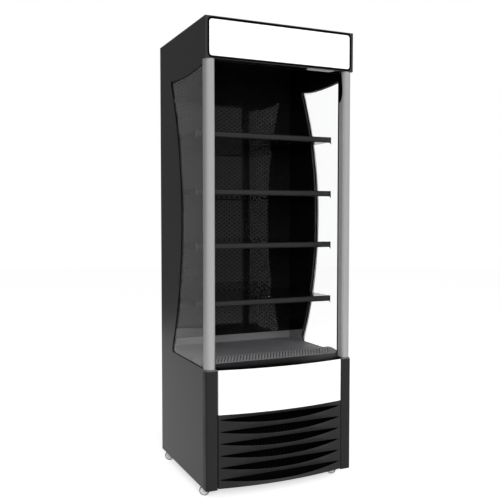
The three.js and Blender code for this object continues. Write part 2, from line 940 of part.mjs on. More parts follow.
// The grille's face swells up between the deck and the nose. Slanting slots let the air back in.
function grilleFace(y) {
  const along = (deckFrontY - y) / (deckFrontY - grilleFrontY);
  return deckZ + grilleHump * Math.sin(Math.PI * along) + 3 * along;
}

function returnGrille() {
  const steps = 8;
  const rear = deckFrontY - seam;
  const front = grilleFrontY;
  const ys = Array.from({ length: steps + 1 }, (_, i) => rear + ((front - rear) * i) / steps);
  const upper = ys.map((y) => [y, grilleFace(y)]);
  const lower = ys.map((y) => [y, grilleFace(y) - sheet]);
  const skin = prismX(polygon([...upper, ...lower.reverse()]), -fittedX, fittedX);
  const middle = upper.slice(1, -1).map(([y, z]) => [y, z - sheet / 2]);
  const flange = polygon([...middle, [middle.at(-1)[0], tankTopZ], [middle[0][0], tankTopZ]]);
  const flanges = sides.map(({ sign }) => prismX(flange, ...span(sign, fittedX - 4, fittedX - 2)));
  const slotFrontY = front + grilleSlotMargin;
  const slotRearY = slotFrontY + grilleSlotReach;
  const lean = grilleSlotReach * Math.tan(grilleSlotSlant);
  const count = Math.floor((2 * (fittedX - 12) - lean) / grilleSlotPitch);
  const slots = Array.from({ length: count }, (_, i) => {
    const left = (i - (count - 1) / 2) * grilleSlotPitch - (grilleSlotWidth + lean) / 2;
    const right = left + grilleSlotWidth;
    const outline = polygon([
      [left, slotFrontY],
      [right, slotFrontY],
      [right + lean, slotRearY],
      [left + lean, slotRearY],
    ]);
    return prismZ(outline, deckZ - 5, deckZ + grilleHump + 5);
  });
  return join(cut(skin, ...slots), ...flanges);
}
add("return_air_grille", returnGrille(), finishes.deckGrey());

// The nose rolls over from the grille to the top of the bowed sign.
function deckNose() {
  const rear = grilleFrontY - seam;
  const top = grilleFace(grilleFrontY);
  const rollSteps = 8;
  const halfLength = lowerPostInnerX - seam;
  const sections = bowedStations(halfLength).map((x) => {
    const reach = rear - (frontY - Math.max(bowAt(x), 0));
    const roll = Array.from({ length: rollSteps + 1 }, (_, i) => {
      const turn = (Math.PI / 2) * (i / rollSteps);
      return [rear - reach * Math.sin(turn), signTopZ + (top - signTopZ) * Math.cos(turn) ** 0.8];
    });
    return { x, loop: [...roll, [rear, signTopZ]] };
  });
  return loftX(sections);
}
add("deck_nose", deckNose(), finishes.blackPaint());

// ---------------------------------------------------------------- bowed sign and louvres

// A bowed plate between two heights, with a return at each end back to the tank.
function lowerSign() {
  const stations = bowedStations();
  const plate = loftX(
    stations.map((x) => {
      const y = frontY - bowAt(x);
      const back = y + signThickness;
      return {
        x,
        loop: [
          [y, signBottomZ + seam],
          [back, signBottomZ + seam],
          [back, signTopZ - seam],
          [y, signTopZ - seam],
        ],
      };
    }),
  );
  const returns = [-1, 1].map((sign) =>
    box(
      ...span(sign, bowHalfWidth - signThickness, bowHalfWidth),
      frontY + 1,
      tankFrontY - seam,
      signBottomZ + seam,
      signTopZ - seam,
    ),
  );
  return join(plate, ...returns);
}
add("lower_sign", lowerSign(), finishes.white());

// Every blade hangs from a bowed, dipping upper edge and runs back to a straight lower edge.
function louvreBlade(upperZ, dip, lowerZ, lowerBow) {
  const sections = bowedStations().map((x) => {
    const share = bowAt(x) / frontBow;
    const top = [frontY - frontBow * share, upperZ - dip * share];
    const low = [frontY - lowerBow * share, lowerZ];
    return {
      x,
      loop: [
        low,
        [low[0] + bladeThickness, low[1]],
        [top[0] + bladeThickness, top[1]],
        top,
      ],
    };
  });
  return loftX(sections);
}

const louvreLip = 22; // height of the foot's upturned rear edge in front of the base pan

function louvreGrille() {
  const slotZ = (i) => baseZ + firstSlotHeight - i * slotPitch;
  const bottomZ = baseZ + louvreBottom;
  const slit = 0.8;
  const blades = [louvreBlade(signBottomZ, 0, slotZ(0) + slit, 0)];
  for (let i = 0; i + 1 < louvreCount; i++) {
    blades.push(louvreBlade(slotZ(i) - slit, louvreDip, slotZ(i + 1) + slit, 0));
  }
  blades.push(louvreBlade(slotZ(louvreCount - 1) - slit, louvreDip, bottomZ, frontBow));
  const stiles = [-1, 1].map((sign) =>
    box(
      ...span(sign, bowHalfWidth - stileWidth, bowHalfWidth),
      frontY + 1,
      tankFrontY - seam,
      bottomZ,
      signBottomZ,
    ),
  );
  const foot = loftX(
    bowedStations().map((x) => {
      const front = frontY - bowAt(x);
      const rear = tankFrontY - seam;
      return {
        x,
        loop: [
          [front, bottomZ],
          [rear, bottomZ],
          [rear, bottomZ + bladeThickness],
          [front, bottomZ + bladeThickness],
        ],
      };
    }),
  );
  const lipRear = tankFrontY - seam;
  const lip = box(
    -bowHalfWidth,
    bowHalfWidth,
    lipRear - bladeThickness,
    lipRear,
    bottomZ,
    bottomZ + louvreLip,
  );
  return join(...blades, ...stiles, foot, lip);
}
add("louvre_grille", louvreGrille(), finishes.blackPaint());

// ---------------------------------------------------------------- base tank and evaporator

const tankInnerX = fittedX - tankWall;
const tankInnerFrontY = tankFrontY + tankWall;
const tankRearY = backFaceY - seam;
const tankInnerRearY = tankRearY - 4;
const tankFloorZ = tankBottomZ + tankFloor;

// The tank narrows at the front, where it passes between the corner posts.
function baseTank() {
  const postRearY = frontY + lowerPostDepth + seam;
  const frontX = lowerPostInnerX - seam;
  const outer = join(
    box(-fittedX, fittedX, postRearY, tankRearY, tankBottomZ, tankTopZ),
    box(-frontX, frontX, tankFrontY, postRearY + 1, tankBottomZ, tankTopZ),
  );
  return cut(
    outer,
    box(-tankInnerX, tankInnerX, postRearY + tankWall, tankInnerRearY, tankFloorZ, tankTopZ + 1),
    box(
      -frontX + tankWall,
      frontX - tankWall,
      tankInnerFrontY,
      postRearY + tankWall + 1,
      tankFloorZ,
      tankTopZ + 1,
    ),
    box(-tankInnerX, tankInnerX, tankInnerRearY - 1, tankRearY + 1, baseZ + tankRearWallTop, tankTopZ + 1),
  );
}
add("base_tank", baseTank(), finishes.foam());

// A finned block with return bends at its ends. It stands on the tank's floor.
function finnedBlock(length, depth, height, fins) {
  const pitch = length / fins;
  const grooves = [];
  for (let i = 0; i < fins; i++) {
    const x = -length / 2 + (i + 0.5) * pitch;
    for (const sign of [-1, 1]) {
      const near = sign * (depth / 2 - finGrooveDepth);
      const far = sign * (depth / 2 + 1);
      grooves.push(
        box(
          x - finGap / 2,
          x + finGap / 2,
          Math.min(near, far),
          Math.max(near, far),
          -height / 2 + 3,
          height / 2 - 3,
        ),
      );
    }
  }
  return cut(box(-length / 2, length / 2, -depth / 2, depth / 2, -height / 2, height / 2), ...grooves);
}

const bendHandle = 4 / 3; // for one cubic curve that follows half a circle

function returnBend(radius) {
  const bend = new THREE.CurvePath();
  const lead = 6;
  bend.add(new THREE.LineCurve3(new THREE.Vector3(-lead, 0, -radius), new THREE.Vector3(0, 0, -radius)));
  const arc = new THREE.CubicBezierCurve3(
    new THREE.Vector3(0, 0, -radius),
    new THREE.Vector3(radius * bendHandle, 0, -radius),
    new THREE.Vector3(radius * bendHandle, 0, radius),
    new THREE.Vector3(0, 0, radius),
  );
  bend.add(arc);
  bend.add(new THREE.LineCurve3(new THREE.Vector3(0, 0, radius), new THREE.Vector3(-lead, 0, radius)));
  const section = new THREE.Shape();
  section.absarc(0, 0, coilTube / 2, 0, 2 * Math.PI, false);
  return new THREE.ExtrudeGeometry(section, {
    steps: 10,
    curveSegments: 4,
    bevelEnabled: false,
    extrudePath: bend,
  });
}

function finnedCoil(length, depth, height, fins, bendCount) {
  const bends = [];
  for (const sign of [-1, 1]) {
    for (let i = 0; i < bendCount; i++) {
      const y = (i - (bendCount - 1) / 2) * (depth / bendCount);
      const bend = returnBend(coilBendRadius);
      if (sign < 0) bend.rotateZ(Math.PI);
      bends.push(bend.translate(sign * (length / 2), y, 0));
    }
  }
  return join(finnedBlock(length, depth, height, fins), ...bends);
}

const coilBends = 4;
add(
  "evaporator_coil",
  finnedCoil(coilLength, coilDepth, coilHeight, finCount, coilBends).translate(
    0,
    coilRearY - coilDepth / 2,
    tankFloorZ + coilHeight / 2,
  ),
  finishes.steel(),
);

const strutOverlap = 3;
const bladeOverlap = 4; // of each blade's root with the hub
const bladeWidthShare = 0.24; // of the fan's diameter

// A motor on three struts across a round opening, behind which the fan turns.
function motorMount(openingDiameter, thickness) {
  const struts = [0, 1, 2].map((i) =>
    new THREE.BoxGeometry(openingDiameter + 2 * strutOverlap, thickness, strutWidth).rotateY(
      (i * Math.PI) / 3,
    ),
  );
  const motor = cylinder(motorDiameter, motorLength).translate(0, motorLength / 2 - thickness / 2, 0);
  return join(...struts, motor);
}

// An axial fan about Y with its front face at y = 0 and its shaft reaching back to the motor.
function axialFan(diameter) {
  const hub = cylinder(fanHubDiameter, fanHubLength).translate(0, fanHubLength / 2, 0);
  const reach = diameter / 2 - fanHubDiameter / 2 + bladeOverlap;
  const middle = fanHubDiameter / 2 - bladeOverlap + reach / 2;
  const blades = Array.from({ length: fanBlades }, (_, i) =>
    new THREE.BoxGeometry(reach, fanBladeThickness, diameter * bladeWidthShare)
      .rotateX(fanPitch)
      .translate(middle, fanHubLength / 2, 0)
      .rotateY((i * 2 * Math.PI) / fanBlades),
  );
  const shaftLength = fanHubLength + motorGap - seam;
  const shaft = cylinder(fanShaft, shaftLength, 12).translate(0, shaftLength / 2, 0);
  return join(hub, shaft, ...blades);
}

const fanPlateThickness = 3;
const evaporatorFanZ = (tankFloorZ + tankTopZ) / 2;

// The fan plate stands across the tank in front of the coil.
function evaporatorFanPlate() {
  const half = evaporatorFanDiameter / 2 + fanClearance;
  const opening = cylinder(2 * half, fanPlateThickness + 2).translate(0, fanPlateY, evaporatorFanZ);
  const plate = cut(
    box(
      -tankInnerX + seam,
      tankInnerX - seam,
      fanPlateY - fanPlateThickness / 2,
      fanPlateY + fanPlateThickness / 2,
      tankFloorZ,
      tankTopZ - seam,
    ),
    opening,
  );
  const mount = motorMount(2 * half, fanPlateThickness).translate(0, fanPlateY, evaporatorFanZ);
  return join(plate, mount);
}
add("evaporator_fan_plate", evaporatorFanPlate(), finishes.steel());

function fanInFrontOf(plateY, plateThickness) {
  return plateY - plateThickness / 2 - motorGap - fanHubLength;
}
add(
  "evaporator_fan",
  axialFan(evaporatorFanDiameter),
  finishes.blackPlastic(),
).position.set(0, fanInFrontOf(fanPlateY, fanPlateThickness), evaporatorFanZ);

// ---------------------------------------------------------------- machine compartment

const panFrontY = tankFrontY;
const panRearY = backY - 8;

function basePan() {
  const postRearY = frontY + lowerPostDepth + seam;
  const frontX = lowerPostInnerX - seam;
  const top = panZ + basePanFlange;
  const outer = join(
    box(-fittedX, fittedX, postRearY, panRearY, panZ, top),
    box(-frontX, frontX, panFrontY, postRearY + 1, panZ, top),
  );
  const w = basePanWall;
  return cut(
    outer,
    box(-fittedX + w, fittedX - w, postRearY + w, panRearY - w, panTopZ, top + 1),
    box(-frontX + w, frontX - w, panFrontY + w, postRearY + w + 1, panTopZ, top + 1),
  );
}
add("base_pan", basePan(), finishes.steel());

// A welded can on a foot plate, with stubs for its pipes.
function compressor() {
  const r = compressorDiameter / 2;
  const h = compressorHeight;
  const middle = h / 2;
  const profile = [
    [0, compressorFoot],
    [r * 0.86, compressorFoot],
    [r, compressorFoot + compressorShoulder],
    [r, middle],
    [r + weldFlange, middle],
    [r + weldFlange, middle + weldFlangeHeight],
    [r, middle + weldFlangeHeight],
    [r, h - 2.4 * compressorShoulder],
    [r * 0.88, h - compressorShoulder],
    [r * 0.6, h - 0.2 * compressorShoulder],
    [0, h],
  ].map(([x, y]) => new THREE.Vector2(x, y));
  const can = new THREE.LatheGeometry(profile, 28).rotateX(Math.PI / 2);
  const plateX = r + compressorFootOverhang;
  const plateY = r * 0.62;
  const plate = box(-plateX, plateX, -plateY, plateY, 0, compressorFoot + 2);
  const stubBottom = h - compressorShoulder;
  const stubTop = h + pipeStubRise;
  const pipes = [-1, 1].map((sign) =>
    cylinder(pipeStubDiameter, stubTop - stubBottom, 10)
      .rotateX(Math.PI / 2)
      .translate(sign * r * 0.45, -r * 0.3, (stubBottom + stubTop) / 2),
  );
  const terminalZ = h * 0.3;
  const terminal = box(
    r / 2,
    r + terminalReach,
    -terminalSize / 2,
    terminalSize / 2,
    terminalZ,
    terminalZ + terminalSize,
  );
  return join(can, plate, ...pipes, terminal).translate(compressorX, compressorY, panTopZ);
}
add("compressor", compressor(), finishes.darkSteel());

const condenserZ = panTopZ + condenserHeight / 2;
const condenserBends = 1;
add(
  "condenser_coil",
  finnedCoil(condenserWidth, condenserDepth, condenserHeight, finCount, condenserBends).translate(
    condenserX,
    condenserY,
    condenserZ,
  ),
  finishes.darkSteel(),
);

// A shallow box behind the coil with a round throat for the fan. Its front edge is a baffle that
// parts the machine compartment, so that the warm air stays behind the condenser.
const shroudFrontY = condenserY + condenserDepth / 2 + seam;
const shroudRearY = shroudFrontY + shroudDepth;
const throat = condenserFanDiameter + 2 * fanClearance;

function condenserShroud() {
  const w = condenserWidth / 2;
  const h = condenserHeight / 2;
  const t = shroudWall;
  const baffleX = fittedX - basePanWall - seam;
  const baffleTop = tankBottomZ - seam - condenserZ;
  const shell = cut(
    join(
      box(-w, w, 0, shroudDepth, -h, h),
      box(-baffleX - condenserX, baffleX - condenserX, 0, t, -h, baffleTop),
    ),
    box(-w + t, w - t, -1, shroudDepth - t, -h + t, h - t),
    cylinder(throat, 4 * t, 36).translate(0, shroudDepth, 0),
  );
  const mount = motorMount(throat, t).translate(0, shroudDepth - t / 2, 0);
  return join(shell, mount).translate(condenserX, shroudFrontY, condenserZ);
}
add("condenser_shroud", condenserShroud(), finishes.darkSteel());
add("condenser_fan", axialFan(condenserFanDiameter), finishes.blackPlastic()).position.set(
  condenserX,
  fanInFrontOf(shroudRearY - shroudWall / 2, shroudWall),
  condenserZ,
);

const drainPanWall = 2;
const pw = drainPanWidth / 2;
const pd = drainPanDepth / 2;
add(
  "drain_pan",
  cut(
    box(-pw, pw, -pd, pd, 0, drainPanHeight),
    box(
      -pw + drainPanWall,
      pw - drainPanWall,
      -pd + drainPanWall,
      pd - drainPanWall,
      drainPanWall,
      drainPanHeight + 1,
    ),
  ).translate(drainPanX, drainPanY, panTopZ),
  finishes.blackPlastic(),
);

// ---------------------------------------------------------------- controls at the back

const controlFaceY = backY - controlRecess;
const controlX0 = controlX - controlWidth / 2;
const controlX1 = controlX + controlWidth / 2;
const controlTopZ = baseZ + controlTop;
const controlBottomZ = controlTopZ - controlHeight;
const knobX = controlX - controlSpread;
const knobZ = controlTopZ - controlRowDrop;
const rockerX = controlX + controlSpread;
const rockerZ = knobZ;
const inletX = controlX;
const inletZ = controlBottomZ + inletRise;

// A box with a well for the rocker and a three-pin inlet sunk in its rear face.
function controlBox() {
  const pins = [-1, 0, 1].map((place) => {
    const x = inletX + place * inletPinPitch;
    const z = inletZ + (place === 0 ? inletPinRaise : -inletPinDrop);
    return box(
      x - inletPin / 2,
      x + inletPin / 2,
      controlFaceY - inletDepth - 1,
      controlFaceY - inletPinRecess,
      z - inletPin / 2,
      z + inletPin / 2,
    );
  });
  const body = cut(
    box(
      controlX0,
      controlX1,
      controlFaceY - controlDepth,
      controlFaceY,
      controlBottomZ,
      controlTopZ,
    ),
    box(
      rockerX - rockerWidth / 2 - seam,
      rockerX + rockerWidth / 2 + seam,
      controlFaceY - rockerDepth - 3,
      controlFaceY + 1,
      rockerZ - rockerHeight / 2 - 1,
      rockerZ + rockerHeight / 2 + 1,
    ),
    box(
      inletX - inletWidth / 2,
      inletX + inletWidth / 2,
      controlFaceY - inletDepth,
      controlFaceY + 1,
      inletZ - inletHeight / 2,
      inletZ + inletHeight / 2,
    ),
  );
  const legRearY = controlFaceY - controlLegSetback;
  const legs = [controlX0 + controlLegInset, controlX1 - controlLegInset - controlLegWidth].map((x) =>
    box(x, x + controlLegWidth, legRearY - controlLegDepth, legRearY, panTopZ, controlBottomZ + 1),
  );
  return join(body, ...pins, ...legs);
}
add("control_box", controlBox(), finishes.blackPlastic());

const knobGrip = 4;
add(
  "thermostat_knob",
  join(
    cylinder(knobDiameter, knobLength - knobGrip, 28).translate(0, (knobLength - knobGrip) / 2, 0),
    box(-knobGrip / 2, knobGrip / 2, 0, knobLength, -knobDiameter / 2 + 2, knobDiameter / 2 - 2),
  ),
  finishes.blackPlastic(),
).position.set(knobX, controlFaceY + seam, knobZ);

// A rocker with a shallow V face that pivots across its middle.
function rocker() {
  const h = rockerHeight / 2;
  const profile = polygon([
    [-rockerDepth + rockerPivotDepth, -h * 0.55],
    [rockerPivotDepth + 1.5, -h],
    [rockerPivotDepth, 0],
    [rockerPivotDepth + 1.5, h],
    [-rockerDepth + rockerPivotDepth, h * 0.55],
  ]);
  return prismX(profile, -rockerWidth / 2, rockerWidth / 2);
}
const powerRocker = add("power_rocker", rocker(), finishes.blackPlastic());
powerRocker.position.set(rockerX, controlFaceY - rockerPivotDepth, rockerZ);
powerRocker.rotation.x = -rockerTilt;

// A slotted sheet closes the machine compartment, with an opening at the control box.
function rearGrille() {
  const y0 = panRearY;
  const y1 = backY - rearGrilleInset;
  const z0 = panZ;
  const z1 = backBottomZ - seam;
  const slotRise = (z1 - z0 - rearGrilleLowEdge - rearGrilleTopEdge) / rearGrilleSlots;
  const free = controlX0 + fittedX - rearGrilleColumns * rearGrilleSlotLength;
  const gap = free / (rearGrilleColumns + 1);
  const slots = [];
  for (let row = 0; row < rearGrilleSlots; row++) {
    for (let column = 0; column < rearGrilleColumns; column++) {
      const x = -fittedX + gap + column * (rearGrilleSlotLength + gap);
      const z = z0 + rearGrilleLowEdge + row * slotRise;
      slots.push(box(x, x + rearGrilleSlotLength, y0 - 1, y1 + 1, z, z + rearGrilleSlotHeight));
    }
  }
  const margin = rearGrilleCutMargin;
  return cut(
    box(-fittedX, fittedX, y0 + seam, y1, z0, z1),
    box(
      controlX0 + margin,
      controlX1 - margin,
      y0 - 1,
      y1 + 1,
      controlBottomZ + margin,
      controlTopZ - margin,
    ),
    ...slots,
  );
}
add("rear_grille", rearGrille(), finishes.darkSteel());

// ---------------------------------------------------------------- castors

// Both are drawn about the swivel axis, with the wheel trailing towards +Y.
const wheelAxleZ = wheelDiameter / 2;

function castorFork() {
  const crownTop = panZ - seam;
  const crown = cylinder(crownDiameter, crownHeight, 24)
    .rotateX(Math.PI / 2)
    .translate(0, 0, crownTop - crownHeight / 2);
  const inner = wheelWidth / 2 + wheelSideGap;
  const legs = [-1, 1].map((sign) => {
    const side = new THREE.Shape();
    side.moveTo(-forkReach, crownTop - crownHeight + 1);
    side.absarc(castorTrail, wheelAxleZ, forkEyeRadius, 1.25 * Math.PI, 2.2 * Math.PI, false);
    side.lineTo(forkReach, crownTop - crownHeight + 1);
    return prismX(side, ...span(sign, inner, inner + forkPlate), 6);
  });
  const bridge = box(
    -inner - forkPlate,
    inner + forkPlate,
    -forkReach,
    forkReach,
    crownTop - crownHeight,
    crownTop - crownHeight + forkBridge,
  );
  const axle = cylinder(axleDiameter, 2 * (inner + forkPlate) + 3, 14)
    .rotateZ(Math.PI / 2)
    .translate(0, castorTrail, wheelAxleZ);
  return join(crown, bridge, ...legs, axle);
}

function castorWheel() {
  const r = wheelDiameter / 2;
  const w = wheelWidth / 2;
  const bore = axleDiameter / 2 + axleGap;
  const profile = [
    [bore, -w],
    [wheelHubRadius, -w],
    [wheelHubRadius + 1, -w + wheelDish],
    [r - wheelRim - 1, -w + wheelDish],
    [r - wheelRim, -w],
    [r - wheelRounding, -w],
    [r, -w + wheelDish],
    [r, w - wheelDish],
    [r - wheelRounding, w],
    [r - wheelRim, w],
    [r - wheelRim - 1, w - wheelDish],
    [wheelHubRadius + 1, w - wheelDish],
    [wheelHubRadius, w],
    [bore, w],
    [bore, -w],
  ].map(([x, y]) => new THREE.Vector2(x, y));
  return new THREE.LatheGeometry(profile, 28).rotateZ(Math.PI / 2);
}

const forkGeometry = castorFork();
const wheelGeometry = castorWheel();
for (const [end, y] of [["front", castorFrontY], ["rear", castorRearY]]) {
  for (const { name, sign } of sides) {
    const castor = new THREE.Group();
    castor.position.set(sign * castorX, y, 0);
    castor.rotation.z = castorHeading;
    cabinet.add(castor);
    add("castor_fork_" + end + "_" + name, forkGeometry, finishes.chrome(), castor);
    const wheel = add("castor_wheel_" + end + "_" + name, wheelGeometry, finishes.rubber(), castor);
    wheel.position.set(0, castorTrail, wheelAxleZ);
  }
}

export default fridge;
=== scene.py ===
"""The looks of the open multideck display fridge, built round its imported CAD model.

Metres, +Z up. The front faces -Y and +X is on the right seen from the front.
"""
import math
from itertools import product

import bmesh
import bpy
from mathutils import Matrix, Vector
from mathutils.bvhtree import BVHTree


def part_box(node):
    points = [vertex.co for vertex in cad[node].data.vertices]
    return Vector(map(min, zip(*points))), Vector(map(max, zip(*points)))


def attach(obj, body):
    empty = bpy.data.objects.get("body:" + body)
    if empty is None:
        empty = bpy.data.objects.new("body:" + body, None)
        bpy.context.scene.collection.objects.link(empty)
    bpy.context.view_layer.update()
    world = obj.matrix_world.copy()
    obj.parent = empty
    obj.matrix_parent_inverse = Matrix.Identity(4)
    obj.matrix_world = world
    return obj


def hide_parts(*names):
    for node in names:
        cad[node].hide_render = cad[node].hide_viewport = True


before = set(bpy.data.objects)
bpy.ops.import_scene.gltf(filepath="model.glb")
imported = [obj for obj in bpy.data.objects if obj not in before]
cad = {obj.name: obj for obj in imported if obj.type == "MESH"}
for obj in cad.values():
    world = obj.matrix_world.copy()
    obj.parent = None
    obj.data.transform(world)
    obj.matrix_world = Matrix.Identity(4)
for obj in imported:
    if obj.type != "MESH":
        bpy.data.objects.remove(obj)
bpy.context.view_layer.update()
MM = 0.001
SIDES = (("left", -1), ("right", 1))
ENDS = ("front", "rear")
SHELVES = range(1, 5)
BACK = (0, 1, 0)  # out of the fridge's back

# ---------------------------------------------------------------- sizes

EDGE_ROUNDING = 0.5 * MM
TANK_ROUNDING = 3 * MM
GRILLE_ROUNDING = 0.3 * MM
BEVEL_SEGMENTS = 2
WELD_GAP = 0.01 * MM
FLAT_ANGLE = math.radians(1)  # faces that meet at less than this become one
SMOOTH_ANGLE = math.radians(32)  # edges sharper than this stay edges
FACING = 0.9  # a direction with this much of its length along an axis counts as along it
STRIP_SECTION = ((-1, -1), (1, -1), (1, 1), (-1, 1))  # the corners of a strip's section

# Where one material changes its finish.
SHARP = 0.1 * MM  # width of a sharp change
CAP_HEIGHT = 8 * MM  # the grey cap on each lower corner post
WALL_SKIN = 0.3 * MM  # thickness of the black inner face of the side walls
GLOSS_DEPTH = 38 * MM  # the glossy front part of the light box's underside
SILVER_PAINTED_LIGHT_REACH = 3 * MM  # painted light: the front posts' inner side is painted lighter, fading out over this much of the front
LOUVRE_SHEEN_FADE = 230 * MM  # painted sheen: the louvres are painted lightest in the middle, fading out over this distance
FOOT_HEIGHT = 6 * MM  # the louvre grille's foot is lower than this
FOOT_EDGE = 4 * MM  # depth of the foot's upturned rear edge

HOLE_WIDTH = 10 * MM
HOLE_HEIGHT = 7 * MM
HOLE_TAPER = 0.55  # size at the rear, as a share of the size at the front
HOLE_COLUMN_PITCH = 14 * MM
HOLE_ROW_PITCH = 19.5 * MM
HOLE_SIDES = 8
# The corners and edge middles of a cell, one for each corner of its hole.
CELL_RIM = ((1, 0), (1, 1), (0, 1), (-1, 1), (-1, 0), (-1, -1), (0, -1), (1, -1))
WHOLE_CELL = 0.9  # a cell with less of its height than this gets no hole

RIB_WIDTH = 3.2 * MM
RIB_HEIGHT = 0.8 * MM
RIB_SLANT = math.radians(28)
RIB_PITCH = 14.7 * MM
RIB_FRONT = 9 * MM  # from the grille's front edge
RIB_REACH = 56 * MM
RIB_STEPS = 8
RIB_FREE = 24 * MM  # of the grille's width, at both ends together
PROBE_HEIGHT = 50 * MM  # from where the grille's surface is felt

RAIL_CAP = 2.5 * MM  # thickness of the end caps of the price rails
RAIL_CAP_FRONT = 1 * MM  # how far a cap stands out past the rail
RAIL_CAP_REAR = 2 * MM
RAIL_CAP_BELOW = 1 * MM
RAIL_CAP_ABOVE = 0.5 * MM
RAIL_HOOK = 7 * MM  # how far the cap's hook hangs below the rail
# Millimetres behind the rail's front, share of the hook's height, and half its depth in millimetres.
RAIL_HOOK_SHAPE = ((1.5, 0, 2), (0.5, 0.6, 1.6), (-2, 1, 1))

BAND_THICKNESS = 1.2 * MM  # of the black bands of painted shade round the side windows
BAND_GAP = 0.2 * MM
BAND_END = 3 * MM  # left free at the top and the bottom
FRONT_BAND = 5 * MM
# The rear band of painted shade: height in metres and width in millimetres.
REAR_BAND = ((0.56, 9), (1.50, 8), (1.60, 6), (1.68, 3), (1.72, 1), (1.745, 1), (1.76, 8), (1.81, 8))

POST_SHADE_LENGTH = 130 * MM  # a black patch of painted shade on the inner side of each front post
POST_SHADE_WIDTH = 26 * MM
POST_SHADE_THICKNESS = 1.5 * MM
POST_SHADE_TOP_GAP = 1 * MM
POST_SHADE_REAR_GAP = 2 * MM
# Shares of the length from the top, and of the width.
POST_SHADE_SHAPE = ((0, 0.6), (0.25, 0.8), (0.6, 1), (0.8, 0.9), (0.93, 0.6), (1, 0.25))
POST_STRIP_WIDTH = 2.5 * MM  # the black strip of painted shade behind the inner edge of each front post
POST_STRIP_DEPTH = 10 * MM

SIGN_SHADE_WIDTH = 8 * MM  # width of the black band of painted shade round the canopy sign
SIGN_SHADE_THICKNESS = 0.8 * MM
SIGN_CORNER = 12 * MM
SIGN_CORNER_STEPS = 6

CASTOR_TURN = math.radians(58)  # heading of the axles
WHEEL_HALF_WIDTH = 8 * MM
FORK_HALF_WIDTH = 11 * MM
HUB_RADIUS = 17.6 * MM  # the bright disc on each side of a castor wheel
NUT_RADIUS = 5.4 * MM
# Share of the radius, and millimetres past the side of the wheel or the fork.
HUB_SHAPE = (
    (0, 0.6), (0.3, 0.6), (0.36, 0.2), (0.78, 0.2),
    (0.84, 0.6), (0.97, 0.6), (1, 0.2), (1, -0.2), (0, -0.2),
)
NUT_SHAPE = ((0, 0), (1, 0), (1, 3), (0.8, 3.6), (0, 3.6))
HUB_SIDES = 32
NUT_SIDES = 6

SCREW_RADIUS = 4 * MM
SMALL_SCREW_RADIUS = 2.5 * MM
SCREW_HEIGHT = 1.6 * MM
# Shares of the radius and of the height.
SCREW_SHAPE = ((1, 0), (1, 0.35), (0.9, 0.7), (0.6, 0.95), (0.3, 1), (0.22, 0.4), (0, 0.4))
SCREW_SIDES = 16
GRILLE_SCREW_INSET = 12 * MM
GRILLE_SCREW_LOW = 16 * MM
BOX_SCREW_INSET = 10 * MM
CONTROL_HEIGHT = 110 * MM  # of the control box above its legs

POINTER_HALF_WIDTH = 0.8 * MM
POINTER_SINK = 0.2 * MM
POINTER_RISE = 0.3 * MM
POINTER_START = 3 * MM  # from the knob's middle
POINTER_END = 2 * MM  # from the knob's rim
DIAL_RADIUS = 18 * MM
DIAL_SPAN = 270  # degrees
DIAL_DOTS = 7
DOT_RADIUS = 1.2 * MM
DOT_HEIGHT = 0.3 * MM
DOT_SIDES = 12

# The pipes start on the compressor, 7 mm to the right of the middles of its stubs.
DISCHARGE_START = (143.25 * MM, 52.5 * MM)
SUCTION_START = (210.75 * MM, 52.5 * MM)
START_DROP = 4 * MM  # below the tips of the stubs
PIPE_OVERLAP = 1 * MM  # how far a pipe or a sleeve reaches into what it meets
PIPE_BEND = 12 * MM  # where a bend starts, from its corner
BEND_STEPS = 6
PIPE_SIDES = 10
CAPILLARY_SIDES = 8
SLEEVE_SIDES = 14
HOSE_SIDES = 16
DRYER_SIDES = 20
GROMMET_SIDES = 16
PIPE_BESIDE = 26 * MM  # the pipes pass the coil at this distance
PIPE_AHEAD = 32 * MM  # in front of the condenser's baffle
PIPE_BEHIND = 30 * MM
DISCHARGE_PIPE = 5 * MM  # radii
SUCTION_PIPE = 6 * MM
LIQUID_PIPE = 3.2 * MM
CAPILLARY = 1.5 * MM
PIPE_SLEEVE = 10 * MM
DRAIN_HOSE = 8 * MM
DRYER_RADIUS = 12 * MM
DRYER_NECK = 7.2 * MM
DRYER_NECK_LENGTH = 6 * MM
DRYER_END_LENGTH = 14 * MM
DRYER_FROM = -130 * MM  # along y
DRYER_TO = -40 * MM
DISCHARGE_RISE = 15 * MM  # above the compressor
DISCHARGE_INLET = 40 * MM  # from the coil's end
SUCTION_DROP = 24 * MM  # below the tank
SUCTION_ASIDE = 20 * MM
SUCTION_BACK = 50 * MM
LIQUID_RISE = 60 * MM  # above the coil's foot
LIQUID_OVERLAP = 2 * MM
CAPILLARY_RUN = 20 * MM
CAPILLARY_ASIDE = 40 * MM
SLEEVE_RISE = 14 * MM  # above the compressor
HOSE_END = 36 * MM  # above the drain pan's foot
GROMMET_RADIUS = 9 * MM
GROMMET_BULGE = 10 * MM
GROMMET_HALF_DEPTH = 3 * MM

# ---------------------------------------------------------------- light

FLOOR_RADIUS = 14
FLOOR_SIDES = 96
FLOOR_GREY = 0.8
FLOOR_GLOW = 0.62
FLAG_RADIUS = 4.5  # the dark screen on the left
FLAG_HEIGHT = 6
FLAG_FROM = -5  # degrees from the back, towards the left
FLAG_TO = 110
FLAG_STEPS = 24
FLAG_LEVEL = 0.18
AMBIENT = 0.45
CAMERA_PLACE = (-1.3634, -2.9669, 1.1805)
CAMERA_LENS = 50.39
CAMERA_SENSOR = 36
CAMERA_DIP = 2.584  # degrees
CAMERA_HEADING = -24.364

# ---------------------------------------------------------------- finishes

